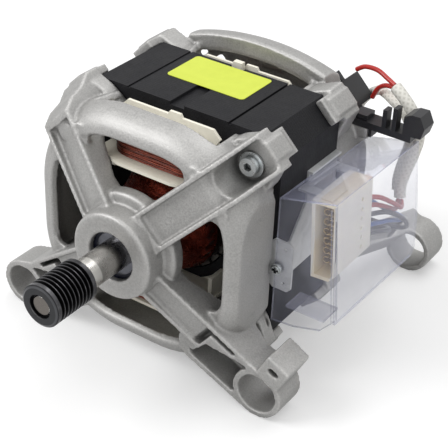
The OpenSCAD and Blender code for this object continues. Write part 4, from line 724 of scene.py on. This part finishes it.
# Painted shade: inside the sockets the white turns a warmer, darker cream.
across = add(tree, "ShaderNodeSeparateXYZ", {0: place})
off_middle = add(tree, "ShaderNodeMath", {0: across.outputs["X"], 1: socket_x * MM}, operation="SUBTRACT")
off_width = add(tree, "ShaderNodeMath", {0: off_middle.outputs[0]}, operation="ABSOLUTE")
inside = add(tree, "ShaderNodeMapRange", {"Value": off_width.outputs[0], 1: socket_half * MM,
                                          2: (socket_half + 0.3) * MM, 3: 1.0, 4: 0.0})
socket_painted_shade = add(tree, "ShaderNodeMix", {0: inside.outputs[0], 6: tone.outputs[2], 7: linear("F2E4C8")},
           data_type="RGBA")
tree.links.new(socket_painted_shade.outputs[2], shader.inputs["Base Color"])
shader.inputs["Roughness"].default_value = 0.4
shader.inputs["IOR"].default_value = 1.53
shader.inputs["Subsurface Weight"].default_value = 0.3
shader.inputs["Subsurface Radius"].default_value = (1.0, 0.85, 0.6)
shader.inputs["Subsurface Scale"].default_value = 4 * MM
bump = add(tree, "ShaderNodeBump", {"Height": cloud.outputs[0], "Strength": 0.15, "Distance": 0.08 * MM})
tree.links.new(bump.outputs[0], shader.inputs["Normal"])
paint(material, "terminal_block")

# Terminals: brass strip, stamped and curled, one pushed into each socket. The brass has dulled in spots to
# a pale brown.
material, tree, shader, place = finish("stamped_brass")
stain = add(tree, "ShaderNodeTexNoise", {"Vector": place, "Scale": 1 / (1.2 * MM), "Detail": 3.0})
tone = add(tree, "ShaderNodeMix", {0: stain.outputs[0], 6: linear("DCC58C"), 7: linear("A98F55")},
           data_type="RGBA")
tree.links.new(tone.outputs[2], shader.inputs["Base Color"])
shader.inputs["Metallic"].default_value = 0.2
shader.inputs["Roughness"].default_value = 0.35
paint(material, "terminals")

# Clear cover: one sheet of clear polycarbonate, cut and folded, with a faint violet cast, glossy where it
# is seen aslant and dusty where it faces up. Its folds are drawn as thin rods inside the sheet, so that
# they show.
material, tree, shader, place = finish("clear_polycarbonate_sheet")
haze = add(tree, "ShaderNodeTexNoise", {"Vector": place, "Scale": 1 / (14 * MM), "Detail": 3.0})
veil = add(tree, "ShaderNodeMapRange", {"Value": haze.outputs[0], 1: 0.3, 2: 0.7, 3: 0.04, 4: 0.09})
facing_up = add(tree, "ShaderNodeSeparateXYZ", {0: add(tree, "ShaderNodeTexCoord").outputs["Normal"]})
dust = add(tree, "ShaderNodeMapRange", {"Value": facing_up.outputs["Z"], 1: 0.4, 2: 0.9, 3: 0.0, 4: 0.16})
dusty = add(tree, "ShaderNodeMath", {0: veil.outputs[0], 1: dust.outputs[0]}, operation="ADD")
tree.links.new(dusty.outputs[0], shader.inputs["Alpha"])
shader.inputs["Base Color"].default_value = linear("BFC2DC")
shader.inputs["Roughness"].default_value = 0.12
shader.inputs["IOR"].default_value = 1.585
gloss = add(tree, "ShaderNodeBsdfGlossy", {"Color": linear("F4F5FF"), "Roughness": 0.04})
slant = add(tree, "ShaderNodeLayerWeight", {"Blend": 0.5})
rim = add(tree, "ShaderNodeMapRange", {"Value": slant.outputs["Facing"], 1: 0.45, 2: 1.0, 3: 0.035, 4: 0.5})
skin = add(tree, "ShaderNodeMixShader", {0: rim.outputs[0], 1: shader.outputs[0], 2: gloss.outputs[0]})
tree.links.new(skin.outputs[0], tree.nodes["Material Output"].inputs["Surface"])
fold_least = 5
fold_turn = 20
fold_r = 0.22
shape = bmesh.new()
shape.from_mesh(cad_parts["clear_cover"].data)
bmesh.ops.remove_doubles(shape, verts=shape.verts, dist=0.01 * MM)
bmesh.ops.dissolve_limit(shape, angle_limit=math.radians(1), verts=shape.verts, edges=shape.edges)
for face in shape.faces:
    face.smooth = False
fold_lines = []
for edge in shape.edges:
    start, end = (corner.co / MM for corner in edge.verts)
    if (start - end).length > fold_least and edge.calc_face_angle(0) > math.radians(fold_turn):
        inward = sum((face.normal for face in edge.link_faces), Vector()).normalized() * fold_r
        fold_lines.append((start - inward, end - inward))
sheet = bpy.data.meshes.new("sheet")
shape.to_mesh(sheet)
shape.free()
cover = joined("cover_sheet", [sheet, tubes("folds", fold_lines, fold_r, sides=6)])
cover.data.materials.append(material)
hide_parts("clear_cover")
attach(cover, "motor_frame")

# Rating label: a bare film in lime yellow, stuck to the stack, a little wavy over the laminations. Its
# ink ground is faintly mottled.
material, tree, shader, place = finish("lime_label_film")
mottle = add(tree, "ShaderNodeTexNoise", {"Vector": place, "Scale": 1 / (5 * MM), "Detail": 2.0})
tone = add(tree, "ShaderNodeMix", {0: mottle.outputs[0], 6: linear("D9E551"), 7: linear("CDDA43")},
           data_type="RGBA")
tree.links.new(tone.outputs[2], shader.inputs["Base Color"])
shader.inputs["Roughness"].default_value = 0.38
bump = add(tree, "ShaderNodeBump", {"Height": mottle.outputs[0], "Strength": 0.15, "Distance": 0.1 * MM})
tree.links.new(bump.outputs[0], shader.inputs["Normal"])
paint(material, "blank_label")

# Leads: stranded copper in smooth PVC, 2.4 mm over the insulation, pushed into the block and held behind
# the rear shield. They take the routes of the CAD's.
lug_face_y = 51
lead_d = 2.4


def eased(points, steps):
    """A smooth curve through listed points, in millimetres from the lug faces."""
    spots = [Vector(point) + Vector((0, lug_face_y, 0)) for point in points]
    last = len(spots) - 1
    line = []
    for i in range(last):
        before, start, end, after = spots[max(i - 1, 0)], spots[i], spots[i + 1], spots[min(i + 2, last)]
        for step in range(steps + (i == last - 1)):
            share = step / steps
            line.append(0.5 * (2 * start + (end - before) * share
                               + (2 * before - 5 * start + 4 * end - after) * share ** 2
                               + (3 * start - before - 3 * end + after) * share ** 3))
    return line


red_routes = [
    [[41.5, 125.6, 53.4], [47, 124, 57], [55, 121.4, 58.4], [62, 118.8, 57], [66.6, 117.4, 55.6]],
    [[52.4, 124.2, 42], [55.6, 122.6, 48.4], [60.6, 120.4, 52.4], [66.4, 118.6, 53.6]],
    [[79.2, 111.2, -1.2], [81, 105, -2.6], [82.2, 94, 4], [81, 82, 11], [79.3, 71.3, 14.2]],
    [[80.6, 112, -1.6], [83.8, 105, -0.6], [84.2, 94, 7.4], [82.2, 82, 15.6], [79, 71.3, 19.2]],
]
blue_routes = [
    [[79.9, 71.3, 4.2], [81.4, 80, 1.4], [83.9, 92, -1.8], [83.8, 103, -7], [82.4, 113, -12], [76, 121, -16],
     [64, 127, -19], [50, 131, -19], [38, 132, -18]],
]
dark_routes = [
    [[79.6, 71.3, 9.2], [80.4, 78, 7.4], [84, 90, 4], [87.2, 102, -4.6], [85.6, 111, -14], [77, 117, -21],
     [64, 120, -24], [52, 121, -25]],
    [[80.3, 71.3, -0.8], [81, 79, -3.4], [82.4, 90, -7.4], [81, 101, -12.6], [75, 107.4, -17],
     [66, 106, -20.4], [55, 102.4, -21], [46, 98, -19.4]],
]
for name, routes, slot, bright, deep in (
        ("red_leads", red_routes, "red_insulation", "C3281F", "A31E18"),
        ("blue_lead", blue_routes, "blue_insulation", "3A66B4", "2C5198"),
        ("dark_leads", dark_routes, "dark_insulation", "34343A", "232328")):
    material, tree, shader, place = finish(slot + "_pvc")
    bloom = add(tree, "ShaderNodeTexNoise", {"Vector": place, "Scale": 1 / (3 * MM), "Detail": 2.0})
    tone = add(tree, "ShaderNodeMix", {0: bloom.outputs[0], 6: linear(bright), 7: linear(deep)},
               data_type="RGBA")
    tree.links.new(tone.outputs[2], shader.inputs["Base Color"])
    shader.inputs["Roughness"].default_value = 0.3
    shader.inputs["IOR"].default_value = 1.54
    paths = [eased(route, 8) for route in routes]
    leads = joined(name + "_pvc", [tubes("leads", paths, lead_d / 2, sides=12)])
    leads.data.materials.append(material)
    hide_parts(name)
    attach(leads, "motor_frame")

# Sleeves: braided glass fibre tube, varnished and pale, slipped over the leads. The braid's strands cross
# in two directions, and are drawn coarser than they are, 1.5 mm apart and twelve round.
rib_pitch = 1.5
strands_round = 12
seam_side = Vector((0.21, 0.13, 0.97))
brush_sleeve_r = 3.0
tacho_sleeve_r = 2.4
brush_sleeve_route = [
    [67.5, 117, 55], [72, 115.6, 52.5], [77.5, 114.6, 48], [82, 114.3, 42], [84, 114.2, 34],
    [82.6, 114.2, 25], [80, 114.2, 15], [78.4, 113.6, 6], [79.4, 112.4, 0]]
tacho_sleeve_route = [
    [18.7, 157.4, 0], [21.2, 157.3, 0.6], [24.4, 156.3, 4.4], [28, 154, 11.4], [35.6, 146.6, 25],
    [43, 140.4, 34.6], [50.6, 133.8, 41.6], [58, 126.6, 45], [65, 121.6, 45], [71.6, 119.6, 42.4],
    [76.2, 119.2, 36], [77.2, 119.2, 27], [75.4, 119, 17], [74, 118.4, 7], [75, 117, 0.6]]
material, tree, shader, place = finish("varnished_glass_braid")
lay_up = add(tree, "ShaderNodeUVMap", uv_map="along")
one_band = math.pi / 10
strand = add(tree, "ShaderNodeTexWave", {"Vector": lay_up.outputs[0], "Scale": one_band},
             bands_direction="DIAGONAL")
mirrored = add(tree, "ShaderNodeVectorMath", {0: lay_up.outputs[0], 1: (-1, 1, 1)}, operation="MULTIPLY")
counter = add(tree, "ShaderNodeTexWave", {"Vector": mirrored.outputs[0], "Scale": one_band},
              bands_direction="DIAGONAL")
braid = add(tree, "ShaderNodeMath", {0: strand.outputs[0], 1: counter.outputs[0]}, operation="MAXIMUM")
tone = add(tree, "ShaderNodeMix", {0: braid.outputs[0], 6: linear("C9C7BE"), 7: linear("E8E6DE")},
           data_type="RGBA")
tree.links.new(tone.outputs[2], shader.inputs["Base Color"])
shader.inputs["Roughness"].default_value = 0.45
bump = add(tree, "ShaderNodeBump", {"Height": braid.outputs[0], "Strength": 0.5, "Distance": 0.15 * MM})
tree.links.new(bump.outputs[0], shader.inputs["Normal"])
for name, route, radius in (("brush_sleeve", brush_sleeve_route, brush_sleeve_r),
                            ("tacho_sleeve", tacho_sleeve_route, tacho_sleeve_r)):
    path = eased(route, 6)
    sleeve = joined(name + "_braid", [tubes("sleeve", [path], radius, sides=16)])
    wrap = sleeve.data.uv_layers.new(name="along")
    spots = [point * MM for point in path]
    runs = [0.0]
    for start, end in zip(spots, spots[1:]):
        runs.append(runs[-1] + (end - start).length)
    for loop in sleeve.data.loops:
        point = sleeve.data.vertices[loop.vertex_index].co
        near = min(range(len(spots)), key=lambda i: (spots[i] - point).length_squared)
        outward = point - spots[near]
        along = (spots[min(near + 1, len(spots) - 1)] - spots[max(near - 1, 0)]).normalized()
        seam = along.cross(seam_side).normalized()
        angle = math.atan2(outward.dot(along.cross(seam)), outward.dot(seam))
        wrap.data[loop.index].uv = (angle * strands_round / (2 * math.pi), runs[near] / (rib_pitch * MM))
    sleeve.data.materials.append(material)
    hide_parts(name)
    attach(sleeve, "motor_frame")
